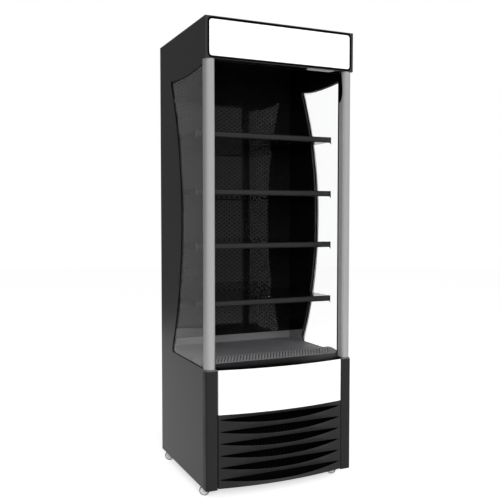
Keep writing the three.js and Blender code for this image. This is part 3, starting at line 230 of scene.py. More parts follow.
BUMP_DEPTH = 0.1 * MM
BUMP_DETAIL = 2.0
VARY_DETAIL = 3.0
NOISE_LOW = 0.3  # the noise stays mostly between these
NOISE_HIGH = 0.7
COLD = 1.04  # how much stronger blue is than red and green in the paints
METAL_COLD = 1.02
GLOSS_COLD = 0.0002  # added to blue in the dark mirroring surfaces
PEEL_SCALE = 900  # the powder coat's orange peel
PEEL_STRENGTH = 0.06
GRAIN_SCALE = 700  # the metals' grain
GRAIN_STRENGTH = 0.10
# Scale of the noise, and the lowest and highest share of the roughness.
PAINT_VARIES = (6, 0.9, 1.12)
METAL_VARIES = (90, 0.75, 1.3)
PANEL_GREY = 0.030
PANEL_ROUGHNESS = 0.30
WALL_GREY = 0.003  # inside the fridge
WALL_ROUGHNESS = 0.08
POST_GREY = 0.017
CAP_GREY = 0.10
LOUVRE_GREY = 0.018
LOUVRE_SHEEN_GREY = 0.040
SILVER_GREY = 0.32
SILVER_PAINTED_LIGHT_GREY = 0.55
BOX_LEVEL = 0.20  # strength of the reflections
SHELF_LEVEL = 0.22
# Share of the height and grey: painted shade along the price rails' top and bottom edges, and painted
# shade and light on the deck nose.
RAIL_SHADE_BANDS = ((0, 0.003), (0.12, 0.005), (0.2, 0.018), (0.8, 0.021), (0.9, 0.006), (1, 0.004))
NOSE_SHADE_AND_LIGHT_BANDS = ((0, 0.001), (0.55, 0.001), (0.75, 0.014), (1, 0.030))

# ---------------------------------------------------------------- materials


def principled(name, color, roughness, metallic=0.0, **inputs):
    """A material with one Principled shader. Other inputs are given by their socket names."""
    material = bpy.data.materials.new(name)
    material.use_nodes = True
    shader = material.node_tree.nodes["Principled BSDF"]
    shader.inputs["Base Color"].default_value = (*color, 1)
    shader.inputs["Roughness"].default_value = roughness
    shader.inputs["Metallic"].default_value = metallic
    for socket, value in inputs.items():
        shader.inputs[socket.replace("_", " ")].default_value = value
    return material


def object_noise(tree, scale, detail, stretch):
    """A noise texture in the object's own coordinates."""
    coordinates = tree.nodes.new("ShaderNodeTexCoord")
    mapping = tree.nodes.new("ShaderNodeMapping")
    mapping.inputs["Scale"].default_value = stretch
    noise = tree.nodes.new("ShaderNodeTexNoise")
    noise.inputs["Scale"].default_value = scale
    noise.inputs["Detail"].default_value = detail
    tree.links.new(coordinates.outputs["Object"], mapping.inputs["Vector"])
    tree.links.new(mapping.outputs["Vector"], noise.inputs["Vector"])
    return noise


def map_range(tree, low, high, below, above):
    """A node that maps low..high to below..above."""
    ramp = tree.nodes.new("ShaderNodeMapRange")
    ramp.inputs["From Min"].default_value = low
    ramp.inputs["From Max"].default_value = high
    ramp.inputs["To Min"].default_value = below
    ramp.inputs["To Max"].default_value = above
    return ramp


def add_bump(material, scale, strength, stretch=(1, 1, 1)):
    """Roughens the surface with fine noise."""
    tree = material.node_tree
    noise = object_noise(tree, scale, BUMP_DETAIL, stretch)
    bump = tree.nodes.new("ShaderNodeBump")
    bump.inputs["Strength"].default_value = strength
    bump.inputs["Distance"].default_value = BUMP_DEPTH
    tree.links.new(noise.outputs["Fac"], bump.inputs["Height"])
    tree.links.new(bump.outputs["Normal"], tree.nodes["Principled BSDF"].inputs["Normal"])


def vary(material, scale, low, high, stretch=(1, 1, 1)):
    """Lets noise move the roughness between two values."""
    tree = material.node_tree
    noise = object_noise(tree, scale, VARY_DETAIL, stretch)
    ramp = map_range(tree, NOISE_LOW, NOISE_HIGH, low, high)
    tree.links.new(noise.outputs["Fac"], ramp.inputs["Value"])
    tree.links.new(ramp.outputs["Result"], tree.nodes["Principled BSDF"].inputs["Roughness"])


def by_place(material, axis, low, high, socket, below, above):
    """Runs a grey or a number from one value to another between two distances from the middle plane."""
    tree = material.node_tree
    coordinates = tree.nodes.new("ShaderNodeTexCoord")
    split = tree.nodes.new("ShaderNodeSeparateXYZ")
    size = tree.nodes.new("ShaderNodeMath")
    size.operation = "ABSOLUTE"
    ramp = map_range(tree, low, high, below, above)
    link = tree.links.new
    link(coordinates.outputs["Object"], split.inputs["Vector"])
    link(split.outputs[axis], size.inputs[0])
    link(size.outputs["Value"], ramp.inputs["Value"])
    link(ramp.outputs["Result"], tree.nodes["Principled BSDF"].inputs[socket])


def banded(material, stops):
    """Greys across the object's height, as (share of the height, grey)."""
    tree = material.node_tree
    coordinates = tree.nodes.new("ShaderNodeTexCoord")
    split = tree.nodes.new("ShaderNodeSeparateXYZ")
    ramp = tree.nodes.new("ShaderNodeValToRGB")
    for i, (share, grey) in enumerate(stops):
        stop = ramp.color_ramp.elements[i] if i < 2 else ramp.color_ramp.elements.new(share)
        stop.position = share
        stop.color = (grey, grey, grey * COLD, 1)
    link = tree.links.new
    link(coordinates.outputs["Generated"], split.inputs["Vector"])
    link(split.outputs["Z"], ramp.inputs["Fac"])
    link(ramp.outputs["Color"], tree.nodes["Principled BSDF"].inputs["Base Color"])


def paint(name, grey, roughness, level, tint=COLD):
    """Powder coat with a fine orange peel."""
    material = principled(name, (grey, grey, grey * tint), roughness, Specular_IOR_Level=level)
    add_bump(material, PEEL_SCALE, PEEL_STRENGTH)
    scale, low, high = PAINT_VARIES
    vary(material, scale, roughness * low, roughness * high)
    return material


def gloss(name, grey, level, roughness=0.04, low=0.03, high=0.05, scale=4):
    """A smooth dark surface that mirrors."""
    material = principled(name, (grey, grey, grey + GLOSS_COLD), roughness, Specular_IOR_Level=level)
    vary(material, scale, low, high)
    return material


def brushed(name, grey, roughness, stretch, metallic=1.0):
    """Metal with a fine grain along one direction."""
    material = principled(name, (grey, grey, grey * METAL_COLD), roughness, metallic)
    add_bump(material, GRAIN_SCALE, GRAIN_STRENGTH, stretch)
    scale, low, high = METAL_VARIES
    vary(material, scale, roughness * low, roughness * high, stretch)
    return material


def soft(name, color, roughness, level, scale, strength):
    """Plastic or rubber with a fine grain."""
    material = principled(name, color, roughness, Specular_IOR_Level=level)
    add_bump(material, scale, strength)
    return material


def smooth(name, color, roughness, scale, low, high, metallic=0.0, **inputs):
    """A plain surface whose roughness varies."""
    material = principled(name, color, roughness, metallic, **inputs)
    vary(material, scale, low, high)
    return material


# Paints: grey, roughness and strength of the reflections.
roof_paint = paint("roof_paint", PANEL_GREY, PANEL_ROUGHNESS, 0.07)
panel_paint = paint("panel_paint", PANEL_GREY, PANEL_ROUGHNESS, 0.07)
wall_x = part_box("side_panel_right")[0].x + WALL_SKIN
by_place(panel_paint, "X", wall_x, wall_x + SHARP, "Base Color", WALL_GREY, PANEL_GREY)
by_place(panel_paint, "X", wall_x, wall_x + SHARP, "Roughness", WALL_ROUGHNESS, PANEL_ROUGHNESS)

post_paint = paint("post_paint", POST_GREY, 0.45, 0.10)
cap_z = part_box("front_post_left")[0].z - CAP_HEIGHT
by_place(post_paint, "Z", cap_z, cap_z + SHARP, "Base Color", POST_GREY, CAP_GREY)

louvre_paint = paint("louvre_paint", LOUVRE_GREY, 0.42, 0.10)
# Painted sheen: the bowed louvres are painted lighter in the middle than at their ends.
by_place(louvre_paint, "X", 0, LOUVRE_SHEEN_FADE, "Base Color", LOUVRE_SHEEN_GREY, LOUVRE_GREY)

rail_paint = paint("rail_paint", 0.019, 0.42, 0.10)
# Painted shade: dark lines along the price rails' top and bottom edges.
banded(rail_paint, RAIL_SHADE_BANDS)
nose_paint = paint("nose_paint", 0.018, 0.50, 0.04)
# Painted shade low on the deck nose's front, and painted light on its top.
banded(nose_paint, NOSE_SHADE_AND_LIGHT_BANDS)
bezel_paint = paint("bezel_paint", 0.019, 0.42, 0.10)
deck_paint = paint("deck_paint", 0.15, 0.55, 0.12)
# Painted highlight: the grille's ribs are painted paler than the deck, for the light they catch.
rib_highlight_paint = paint("rib_highlight_paint", 0.22, 0.50, 0.15)
dark_metal = paint("dark_metal", 0.004, 0.5, 0.10)
# Painted shade: near-black paint for the parts and faces that lie in the dark inside and under the fridge.
painted_shade_metal = paint("painted_shade_metal", 0.0015, 0.6, 0.02)
liner_grey = paint("liner_grey", 0.45, 0.5, 0.4)
sign_white = paint("sign_white", 0.93, 0.35, 0.3, 1.0)
hub_grey = paint("hub_grey", 0.72, 0.45, 0.4)

# Mirroring surfaces: grey and strength of the reflections.
inner_gloss = gloss("inner_gloss", 0.003, 0.20)
duct_gloss = gloss("duct_gloss", 0.006, 0.18)
box_gloss = gloss("box_gloss", 0.003, BOX_LEVEL)
gloss_y = abs(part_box("canopy_light_box")[0].y) - GLOSS_DEPTH
by_place(box_gloss, "Y", gloss_y, gloss_y + SHARP, "Specular IOR Level", 0, BOX_LEVEL)
shelf_gloss = gloss("shelf_gloss", 0.004, SHELF_LEVEL, 0.08, low=0.06, high=0.11, scale=8)
tray_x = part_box("shelf_1")[1].x
by_place(shelf_gloss, "X", tray_x - 2 * SHARP, tray_x - SHARP, "Specular IOR Level", SHELF_LEVEL, 0)

# Metals: grey, roughness and stretch of the grain.
silver = brushed("silver", SILVER_GREY, 0.40, (1, 1, 0.02), 0.5)
# Painted light: the posts' shaded inner side is painted a lighter grey.
post_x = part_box("front_post_right")[0].x
by_place(silver, "X", post_x + SHARP, post_x + SILVER_PAINTED_LIGHT_REACH, "Base Color", SILVER_PAINTED_LIGHT_GREY, SILVER_GREY)
steel = brushed("steel", 0.42, 0.42, (0.04, 1, 1))
chrome = brushed("chrome", 0.60, 0.22, (1, 1, 1))
copper = smooth("copper", (0.62, 0.28, 0.16), 0.35, scale=40, low=0.28, high=0.5, metallic=1.0)

# Plastic and rubber: colour, roughness, strength of the reflections and grain.
plastic = soft("plastic", (0.016, 0.016, 0.017), 0.5, 0.35, scale=1400, strength=0.15)
rubber = soft("rubber", (0.013, 0.013, 0.013), 0.75, 0.25, scale=800, strength=0.2)
gasket_rubber = soft("gasket_rubber", (0.001, 0.001, 0.001), 0.7, 0.02, scale=800, strength=0.2)
tread = soft("tread", (0.030, 0.030, 0.032), 0.7, 0.3, scale=900, strength=0.25)

# Painted shade in black and painted light in white for the bands round the windows, the posts and the
# sign; then the lamp and the windows.
painted_mark_finish = {"roughness": 0.5, "scale": 60, "low": 0.45, "high": 0.55}
painted_shade_black = smooth("painted_shade_black", (0.0008, 0.0008, 0.0008), Specular_IOR_Level=0.02, **painted_mark_finish)
painted_light_white = smooth("painted_light_white", (0.93, 0.93, 0.93), **painted_mark_finish)
opal = smooth("opal", (0.9, 0.9, 0.88), 0.3, scale=30, low=0.25, high=0.4)
glass = principled("glass", (0.985, 0.99, 0.988), 0.01, IOR=1.105, Transmission_Weight=1.0)

# ---------------------------------------------------------------- meshes


def dress(node, material, rounding):
    """Gives a CAD node its material, and rounds its sharp edges with modifiers."""
    piece = cad[node]
    piece.data.materials.clear()
    piece.data.materials.append(material)
    if rounding <= 0:
        return
    if "custom_normal" in piece.data.attributes:
        piece.data.attributes.remove(piece.data.attributes["custom_normal"])
    piece.data.polygons.foreach_set("use_smooth", [True] * len(piece.data.polygons))
    weld = piece.modifiers.new("weld", "WELD")
    weld.merge_threshold = WELD_GAP
    flat = piece.modifiers.new("flat", "DECIMATE")
    flat.decimate_type = "DISSOLVE"
    flat.angle_limit = FLAT_ANGLE
    bevel = piece.modifiers.new("bevel", "BEVEL")
    bevel.width = rounding
    bevel.segments = BEVEL_SEGMENTS
    bevel.limit_method = "ANGLE"
    bevel.angle_limit = SMOOTH_ANGLE
    bevel.harden_normals = True


def new_piece(name, builder, material, body):
    """Turns a bmesh into a piece that rides on a CAD body."""
    mesh = bpy.data.meshes.new(name)
    bmesh.ops.recalc_face_normals(builder, faces=builder.faces)
    builder.to_mesh(mesh)
    builder.free()
    mesh.materials.append(material)
    mesh.polygons.foreach_set("use_smooth", [True] * len(mesh.polygons))
    mesh.set_sharp_from_angle(angle=SMOOTH_ANGLE)
    piece = bpy.data.objects.new(name, mesh)
    bpy.context.scene.collection.objects.link(piece)
    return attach(piece, body)


def repaint(piece, material, chosen):
    """Gives a second material to the faces that a test picks."""
    piece.data.materials.append(material)
    for face in piece.data.polygons:
        face.material_index = 1 if chosen(face) else 0


def around(sides):
    """The cosine and the sine of each corner of a regular polygon."""
    for i in range(sides):
        turn = 2 * math.pi * i / sides
        yield math.cos(turn), math.sin(turn)


def join_rings(builder, ring, other):
    """Adds the faces between two rings of corners. Either may be a single point."""
    for i in range(max(len(ring), len(other))):
        k = i + 1
        corners = [ring[i % len(ring)], ring[k % len(ring)], other[k % len(other)], other[i % len(other)]]
        builder.faces.new(list(dict.fromkeys(corners)))


def revolve(builder, profile, place, sides):
    """Adds a surface of revolution of (radius, height) points. The placement turns it into the frame."""
    rings = []
    for radius, height in profile:
        corners = [(radius * x, radius * y, height) for x, y in around(sides if radius else 1)]
        rings.append([builder.verts.new(place @ Vector(corner)) for corner in corners])
    for ring, other in zip(rings, rings[1:]):
        join_rings(builder, ring, other)


def facing(point, normal):
    """The placement whose own z points along the normal at a point."""
    turn = Vector((0, 0, 1)).rotation_difference(Vector(normal))
    return Matrix.Translation(Vector(point)) @ turn.to_matrix().to_4x4()


def sweep(builder, points, radius, sides=PIPE_SIDES):
    """Adds a round tube through points, with a fixed frame carried along."""
    points = [Vector(p) for p in points]
    across = None
    rings = []
    for i, point in enumerate(points):
        ahead = points[min(i + 1, len(points) - 1)] - points[max(i - 1, 0)]
        ahead.normalize()
        if across is None:
            helper = Vector((0, 0, 1)) if abs(ahead.z) < FACING else Vector((1, 0, 0))
            across = ahead.cross(helper)
        across = (across - ahead * across.dot(ahead)).normalized()
        other = ahead.cross(across)
        spokes = [radius * (x * across + y * other) for x, y in around(sides)]
        rings.append([builder.verts.new(point + spoke) for spoke in spokes])
    for ring, other in zip(rings, rings[1:]):
        join_rings(builder, ring, other)
    builder.faces.new(rings[0])
    builder.faces.new(rings[-1])


def rounded_route(corners):
    """A route through corner points with each inner corner rounded."""
    corners = [Vector(c) for c in corners]
    route = [corners[0]]
    for before, corner, after in zip(corners, corners[1:], corners[2:]):
        a = corner + (before - corner).normalized() * PIPE_BEND
        b = corner + (after - corner).normalized() * PIPE_BEND
        for i in range(BEND_STEPS + 1):
            t = i / BEND_STEPS
            route.append((1 - t) ** 2 * a + 2 * t * (1 - t) * corner + t * t * b)
    route.append(corners[-1])
    return route


def add_box(builder, low, high):
    """Adds a box between two corners."""
    corners = [builder.verts.new(corner) for corner in product(*zip(low, high))]
    for face in ((0, 1, 3, 2), (4, 6, 7, 5), (0, 4, 5, 1), (2, 3, 7, 6), (0, 2, 6, 4), (1, 5, 7, 3)):
        builder.faces.new([corners[i] for i in face])


def add_strip(builder, points, across, thick):
    """Adds a strip of rectangular section through points. Both half sections are vectors per point."""
    rings = []
    for point, a, t in zip(points, across, thick):
        rings.append([builder.verts.new(Vector(point) + p * a + q * t) for p, q in STRIP_SECTION])
    for near, far in zip(rings, rings[1:]):
        join_rings(builder, near, far)
    builder.faces.new(rings[0])
    builder.faces.new(rings[-1])


# ---------------------------------------------------------------- dressing the CAD nodes

finish_of = {
    "base_pan": painted_shade_metal,
    "back_panel": roof_paint,
    "roof_panel": roof_paint,
    "ceiling_panel": inner_gloss,
    "canopy_light_box": box_gloss,
    "canopy_bezel": bezel_paint,
    "canopy_sign": sign_white,
    "canopy_lamp": opal,
    "air_curtain_honeycomb": dark_metal,
    "base_tank": liner_grey,
    "deck_pan": deck_paint,
    "return_air_grille": deck_paint,
    "deck_nose": nose_paint,
    "lower_sign": sign_white,
    "louvre_grille": louvre_paint,
    "evaporator_coil": steel,
    "evaporator_fan_plate": steel,
    "evaporator_fan": plastic,
    "compressor": dark_metal,
    "condenser_coil": painted_shade_metal,
    "condenser_shroud": painted_shade_metal,
    "condenser_fan": plastic,
    "drain_pan": plastic,
    "control_box": plastic,
    "thermostat_knob": plastic,
    "power_rocker": plastic,
    "rear_grille": dark_metal,
}
rounding_of = {
    "evaporator_coil": 0,
    "condenser_coil": 0,
    "air_curtain_honeycomb": 0,
    "base_tank": TANK_ROUNDING,
    "return_air_grille": GRILLE_ROUNDING,
}
for side, _ in SIDES:
    finish_of["side_panel_" + side] = panel_paint
    finish_of["side_glass_" + side] = glass
    finish_of["glass_gasket_" + side] = gasket_rubber
    finish_of["front_post_" + side] = silver
    finish_of["lower_corner_post_" + side] = post_paint
    finish_of["shelf_upright_" + side] = dark_metal
    rounding_of["side_glass_" + side] = 0
    rounding_of["glass_gasket_" + side] = 0
    for end in ENDS:
        finish_of[f"castor_fork_{end}_{side}"] = chrome
        finish_of[f"castor_wheel_{end}_{side}"] = tread
for number in SHELVES:
    finish_of[f"shelf_{number}"] = shelf_gloss
    finish_of[f"price_rail_{number}"] = rail_paint
    finish_of[f"shelf_frame_{number}"] = shelf_gloss
for node, material in finish_of.items():
    dress(node, material, rounding_of.get(node, EDGE_ROUNDING))

# The back panel's inner face lies in the dark behind the perforated duct panel and gets near-black painted
# shade.
repaint(cad["back_panel"], painted_shade_metal, lambda face: face.normal.y < -FACING)

louvres = cad["louvre_grille"]
louvre_low, louvre_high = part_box("louvre_grille")


def in_louvre_shade(face):
    """The grille's foot and its upturned rear edge lie in the dark behind the blades and get near-black
    painted shade.
    """
    place = louvres.matrix_world @ face.center
    foot = face.normal.z > FACING and place.z < louvre_low.z + FOOT_HEIGHT
    return foot or place.y > louvre_high.y - FOOT_EDGE


repaint(louvres, painted_shade_metal, in_louvre_shade)

# ---------------------------------------------------------------- perforated duct panel


def perforated_panel():
    """The duct panel with staggered columns of flat oval holes through it."""
    low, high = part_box("rear_duct_panel")
    columns = round((high.x - low.x) / HOLE_COLUMN_PITCH)
    rows = round((high.z - low.z) / HOLE_ROW_PITCH)
    wide = (high.x - low.x) / columns
    tall = (high.z - low.z) / rows
    builder = bmesh.new()
    made = {}

    def corner(x, y, z):
        key = (round(x, 6), round(y, 6), round(z, 6))
        if key not in made:
            made[key] = builder.verts.new(key)
        return made[key]

    def plain_cell(x, bottom, top):
        outline = [(x - wide / 2, bottom), (x, bottom), (x + wide / 2, bottom)]
        outline += [(x + wide / 2, top), (x, top), (x - wide / 2, top)]
        for y in (low.y, high.y):
            builder.faces.new([corner(a, y, b) for a, b in outline])

    def holed_cell(x, z):
        holes = []
        for y, size in ((low.y, 1), (high.y, HOLE_TAPER)):
            across = HOLE_WIDTH / 2 * size
            up = HOLE_HEIGHT / 2 * size
            outer = [corner(x + a * wide / 2, y, z + b * tall / 2) for a, b in CELL_RIM]
            inner = [corner(x + across * a, y, z + up * b) for a, b in around(HOLE_SIDES)]
            join_rings(builder, outer, inner)
            holes.append(inner)
        join_rings(builder, *holes)

    for column in range(columns):
        x = low.x + (column + 0.5) * wide
        shifted = column % 2
        for row in range(rows + shifted):
            z = low.z + (row + 0.5 - 0.5 * shifted) * tall
            bottom = max(z - tall / 2, low.z)
            top = min(z + tall / 2, high.z)
            if top - bottom < tall * WHOLE_CELL:
                plain_cell(x, bottom, top)
            else:
                holed_cell(x, z)
    return builder


panel = new_piece("perforated_duct_panel", perforated_panel(), duct_gloss, "cabinet")
panel.data.polygons.foreach_set("use_smooth", [False] * len(panel.data.polygons))
# Painted shade: the walls of the holes are near-black.
repaint(panel, painted_shade_metal, lambda face: abs(face.normal.y) < FACING)
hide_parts("rear_duct_panel")

# ---------------------------------------------------------------- return grille and price rails


def grille_ribs():
    """Raised ribs on the return grille, slanting like its slots and midway between them."""
    surface = bmesh.new()
    surface.from_mesh(cad["return_air_grille"].data)
    surface.transform(cad["return_air_grille"].matrix_world)
    tree = BVHTree.FromBMesh(surface)
    surface.free()
    low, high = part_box("return_air_grille")
    lean = RIB_REACH * math.tan(RIB_SLANT)
    slots = math.floor((high.x - low.x - RIB_FREE - lean) / RIB_PITCH)
    half = Vector((RIB_WIDTH / 2, 0, 0))
    rise = Vector((0, 0, RIB_HEIGHT))
    shares = [step / RIB_STEPS for step in range(RIB_STEPS + 1)]
    builder = bmesh.new()
    for i in range(slots - 1):
        x = (i + 0.5 - (slots - 1) / 2) * RIB_PITCH - lean / 2
        points = []
        for share in shares:
            y = low.y + RIB_FRONT + share * RIB_REACH
            place = Vector((x + share * lean, y, high.z + PROBE_HEIGHT))
            points.append(tree.ray_cast(place, Vector((0, 0, -1)))[0])
        add_strip(builder, points, [half] * len(points), [rise] * len(points))
    return builder


def rail_caps(number):
    """The two end caps of a price rail, each with a small hook below."""
    low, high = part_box(f"price_rail_{number}")
    builder = bmesh.new()
    for _, sign in SIDES:
        x = sign * high.x
        inner = x - sign * RAIL_CAP
        add_box(
            builder,
            (min(x, inner), low.y - RAIL_CAP_FRONT, low.z - RAIL_CAP_BELOW),
            (max(x, inner), high.y + RAIL_CAP_REAR, high.z + RAIL_CAP_ABOVE),
        )
        middle = x - sign * RAIL_CAP / 2
        hook = [(middle, low.y + back * MM, low.z - RAIL_HOOK * down) for back, down, _ in RAIL_HOOK_SHAPE]
        across = [Vector((RAIL_CAP / 2, 0, 0))] * len(hook)
        add_strip(builder, hook, across, [Vector((0, half * MM, 0)) for _, _, half in RAIL_HOOK_SHAPE])
    return builder


new_piece("return_grille_ribs", grille_ribs(), rib_highlight_paint, "cabinet")
for number in SHELVES:
    new_piece(f"price_rail_caps_{number}", rail_caps(number), plastic, f"shelf_body_{number}")

# ---------------------------------------------------------------- side windows, posts and canopy sign


def edge_of_glass(side, rear):
    """The front or rear edge of a side window, as {height: y}."""
    glass_low, glass_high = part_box("side_glass_" + side)
    edge = {}
    for vertex in cad["side_glass_" + side].data.vertices:
        y, z = vertex.co.y, vertex.co.z
        if (y > 0) == rear and glass_low.z + BAND_END < z < glass_high.z - BAND_END:
            key = round(z, 5)
            edge[key] = max(y, edge.get(key, y)) if rear else min(y, edge.get(key, y))
    return edge


def window_band(sign, edge, width_at, towards):
    """A band of painted shade on the outside of a side window, from its edge inwards."""
    inner = abs(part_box("side_glass_right")[1].x) + BAND_GAP
    x = sign * (inner + BAND_THICKNESS / 2)
    points, across = [], []
    for z in sorted(edge):
        half = width_at(z) / 2
        points.append((x, edge[z] + towards * half, z))
        across.append(Vector((0, half, 0)))
    builder = bmesh.new()
    add_strip(builder, points, across, [Vector((BAND_THICKNESS / 2, 0, 0))] * len(points))
    return builder


def rear_band_width(z):
    """The width of the rear band at a height."""
    for (z0, w0), (z1, w1) in zip(REAR_BAND, REAR_BAND[1:]):
        if z <= z1:
            return (w0 + (w1 - w0) * (z - z0) / (z1 - z0)) * MM
    return REAR_BAND[-1][1] * MM


def post_painted_shade(side, sign):
    """The black patch of painted shade on the inner side of a front post, and the black strip of painted
    shade behind the post.
    """
    low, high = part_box("front_post_" + side)
    x = high.x if sign < 0 else low.x
    middle = x - sign * POST_SHADE_THICKNESS / 2
    top = high.z - POST_SHADE_TOP_GAP
    rear = high.y - POST_SHADE_REAR_GAP
    points, across = [], []
    for down, share in POST_SHADE_SHAPE:
        half = POST_SHADE_WIDTH * share / 2
        points.append((middle, rear - half, top - POST_SHADE_LENGTH * down))
        across.append(Vector((0, half, 0)))
    builder = bmesh.new()
    add_strip(builder, points, across, [Vector((POST_SHADE_THICKNESS / 2, 0, 0))] * len(points))
    strip = (x + sign * POST_STRIP_WIDTH, x)
    add_box(
        builder,
        (min(strip), high.y + BAND_GAP, low.z + BAND_END),
        (max(strip), high.y + POST_STRIP_DEPTH, high.z - BAND_END),
    )
    return builder


def sign_painted_shade():
    """The black band of painted shade round the canopy sign, with round corners."""
    low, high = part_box("canopy_sign")
    reach = SIGN_SHADE_WIDTH / 2
    points, across = [], []
    for x, z, start in (
        (high.x - SIGN_CORNER, high.z - SIGN_CORNER, 0),
        (low.x + SIGN_CORNER, high.z - SIGN_CORNER, 90),
        (low.x + SIGN_CORNER, low.z + SIGN_CORNER, 180),
        (high.x - SIGN_CORNER, low.z + SIGN_CORNER, 270),
    ):
        for step in range(SIGN_CORNER_STEPS + 1):
            turn = math.radians(start + 90 * step / SIGN_CORNER_STEPS)
            outward = Vector((math.cos(turn), 0, math.sin(turn)))
            points.append(Vector((x, low.y - BAND_GAP, z)) + outward * (SIGN_CORNER + reach))
            across.append(outward * reach)
    points.append(points[0])
    across.append(across[0])
    builder = bmesh.new()
    add_strip(builder, points, across, [Vector((0, SIGN_SHADE_THICKNESS / 2, 0))] * len(points))
    return builder


for side, sign in SIDES:
    # Painted shade: black bands along each side window's rear and front edges; the rear band's inner face
    # is white, as painted light.
    rear_edge = window_band(sign, edge_of_glass(side, True), rear_band_width, -1)
    band = new_piece("window_band_" + side, rear_edge, painted_shade_black, "cabinet")
    repaint(band, painted_light_white, lambda face: face.normal.x * sign < -FACING)
    front_edge = edge_of_glass(side, False)
    ends = {z: front_edge[z] for z in (min(front_edge), max(front_edge))}
    strip = window_band(sign, ends, lambda z: FRONT_BAND, 1)
    new_piece("window_front_band_" + side, strip, painted_shade_black, "cabinet")
for side, sign in SIDES:
    new_piece("post_painted_shade_" + side, post_painted_shade(side, sign), painted_shade_black, "cabinet")
new_piece("sign_painted_shade", sign_painted_shade(), painted_shade_black, "cabinet")

# ---------------------------------------------------------------- castors

for end in ENDS:
    for side, _ in SIDES:
        low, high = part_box(f"castor_wheel_{end}_{side}")
        axle = Vector((math.cos(CASTOR_TURN), math.sin(CASTOR_TURN), 0))
        hub = [(HUB_RADIUS * share, WHEEL_HALF_WIDTH + past * MM) for share, past in HUB_SHAPE]
        nut = [(NUT_RADIUS * share, FORK_HALF_WIDTH + past * MM) for share, past in NUT_SHAPE]
        hubs = bmesh.new()
        nuts = bmesh.new()
        for way in (-1, 1):
            place = facing((low + high) / 2, way * axle)
            revolve(hubs, hub, place, HUB_SIDES)
            revolve(nuts, nut, place, NUT_SIDES)
        new_piece(f"castor_hubs_{end}_{side}", hubs, hub_grey, f"castor_roller_{end}_{side}")
        new_piece(f"castor_nuts_{end}_{side}", nuts, steel, f"castor_swivel_{end}_{side}")

# ---------------------------------------------------------------- screws and dial


def add_screws(name, places, radius):
    """Domed screw heads with a round recess on the fridge's back."""
    dome = [(radius * share, SCREW_HEIGHT * rise) for share, rise in SCREW_SHAPE]
    builder = bmesh.new()
    for place in places:
        revolve(builder, dome, facing(place, BACK), SCREW_SIDES)
    new_piece(name, builder, steel, "cabinet")


grille_low, grille_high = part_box("rear_grille")
grille_rows = (
    grille_low.z + GRILLE_SCREW_LOW,
    (grille_low.z + grille_high.z) / 2,
    grille_high.z - GRILLE_SCREW_INSET,
)
grille_x = grille_high.x - GRILLE_SCREW_INSET
grille_places = [(x, grille_high.y, z) for x in (-grille_x, grille_x) for z in grille_rows]
add_screws("rear_grille_screws", grille_places, SCREW_RADIUS)

box_low, box_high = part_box("control_box")
box_columns = (box_low.x + BOX_SCREW_INSET, box_high.x - BOX_SCREW_INSET)
box_rows = (box_high.z - CONTROL_HEIGHT + BOX_SCREW_INSET, box_high.z - BOX_SCREW_INSET)
box_places = [(x, box_high.y, z) for x in box_columns for z in box_rows]
add_screws("control_box_screws", box_places, SMALL_SCREW_RADIUS)

knob_low, knob_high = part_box("thermostat_knob")
knob = (knob_low + knob_high) / 2
builder = bmesh.new()
add_box(
    builder,
    (knob.x - POINTER_HALF_WIDTH, knob_high.y - POINTER_SINK, knob.z + POINTER_START),
    (knob.x + POINTER_HALF_WIDTH, knob_high.y + POINTER_RISE, knob_high.z - POINTER_END),
)
new_piece("knob_pointer", builder, sign_white, "thermostat")

dot = [(0, 0), (DOT_RADIUS, 0), (DOT_RADIUS, DOT_HEIGHT), (0, DOT_HEIGHT)]
builder = bmesh.new()
for i in range(DIAL_DOTS):
    turn = math.radians(90 - DIAL_SPAN * i / (DIAL_DOTS - 1))
    place = (knob.x + DIAL_RADIUS * math.cos(turn), box_high.y, knob.z + DIAL_RADIUS * math.sin(turn))
    revolve(builder, dot, facing(place, BACK), DOT_SIDES)
new_piece("dial_dots", builder, sign_white, "cabinet")

# ---------------------------------------------------------------- refrigerant pipes and drain hose

can_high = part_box("compressor")[1]
coil_low, coil_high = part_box("condenser_coil")
baffle_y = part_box("condenser_shroud")[0].y
tank_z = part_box("base_tank")[0].z
evaporator_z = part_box("evaporator_coil")[0].z
start_z = can_high.z - START_DROP
pipe_z = can_high.z + DISCHARGE_RISE
pipe_x = coil_high.x + PIPE_BESIDE
ahead_y = baffle_y - PIPE_AHEAD
inlet_x = coil_high.x - DISCHARGE_INLET
suction_x = SUCTION_START[0] + SUCTION_ASIDE
suction_y = SUCTION_START[1] + SUCTION_BACK
suction_z = tank_z - SUCTION_DROP
liquid_z = coil_low.z + LIQUID_RISE
capillary_x = pipe_x - CAPILLARY_ASIDE
capillary_y = DRYER_TO + CAPILLARY_RUN

discharge = [
    (*DISCHARGE_START, start_z),
    (*DISCHARGE_START, pipe_z),
    (pipe_x, baffle_y + PIPE_BEHIND, pipe_z),
    (pipe_x, ahead_y, pipe_z),
    (inlet_x, ahead_y, pipe_z),
    (inlet_x, ahead_y, coil_high.z - PIPE_OVERLAP),
]
suction = [
    (*SUCTION_START, start_z),
    (*SUCTION_START, suction_z),
    (suction_x, suction_y, suction_z),
    (suction_x, suction_y, evaporator_z + PIPE_OVERLAP),
]
liquid = [
    (coil_high.x - LIQUID_OVERLAP, ahead_y, liquid_z),
    (pipe_x, ahead_y, liquid_z),
    (pipe_x, DRYER_FROM, liquid_z),
]
capillary = [
    (pipe_x, DRYER_TO, liquid_z),
    (pipe_x, capillary_y, liquid_z),
    (capillary_x, capillary_y, liquid_z),
    (capillary_x, capillary_y, evaporator_z),
]
builder = bmesh.new()
sweep(builder, rounded_route(discharge), DISCHARGE_PIPE)
sweep(builder, rounded_route(suction), SUCTION_PIPE)
sweep(builder, rounded_route(liquid), LIQUID_PIPE)
sweep(builder, rounded_route(capillary), CAPILLARY, CAPILLARY_SIDES)
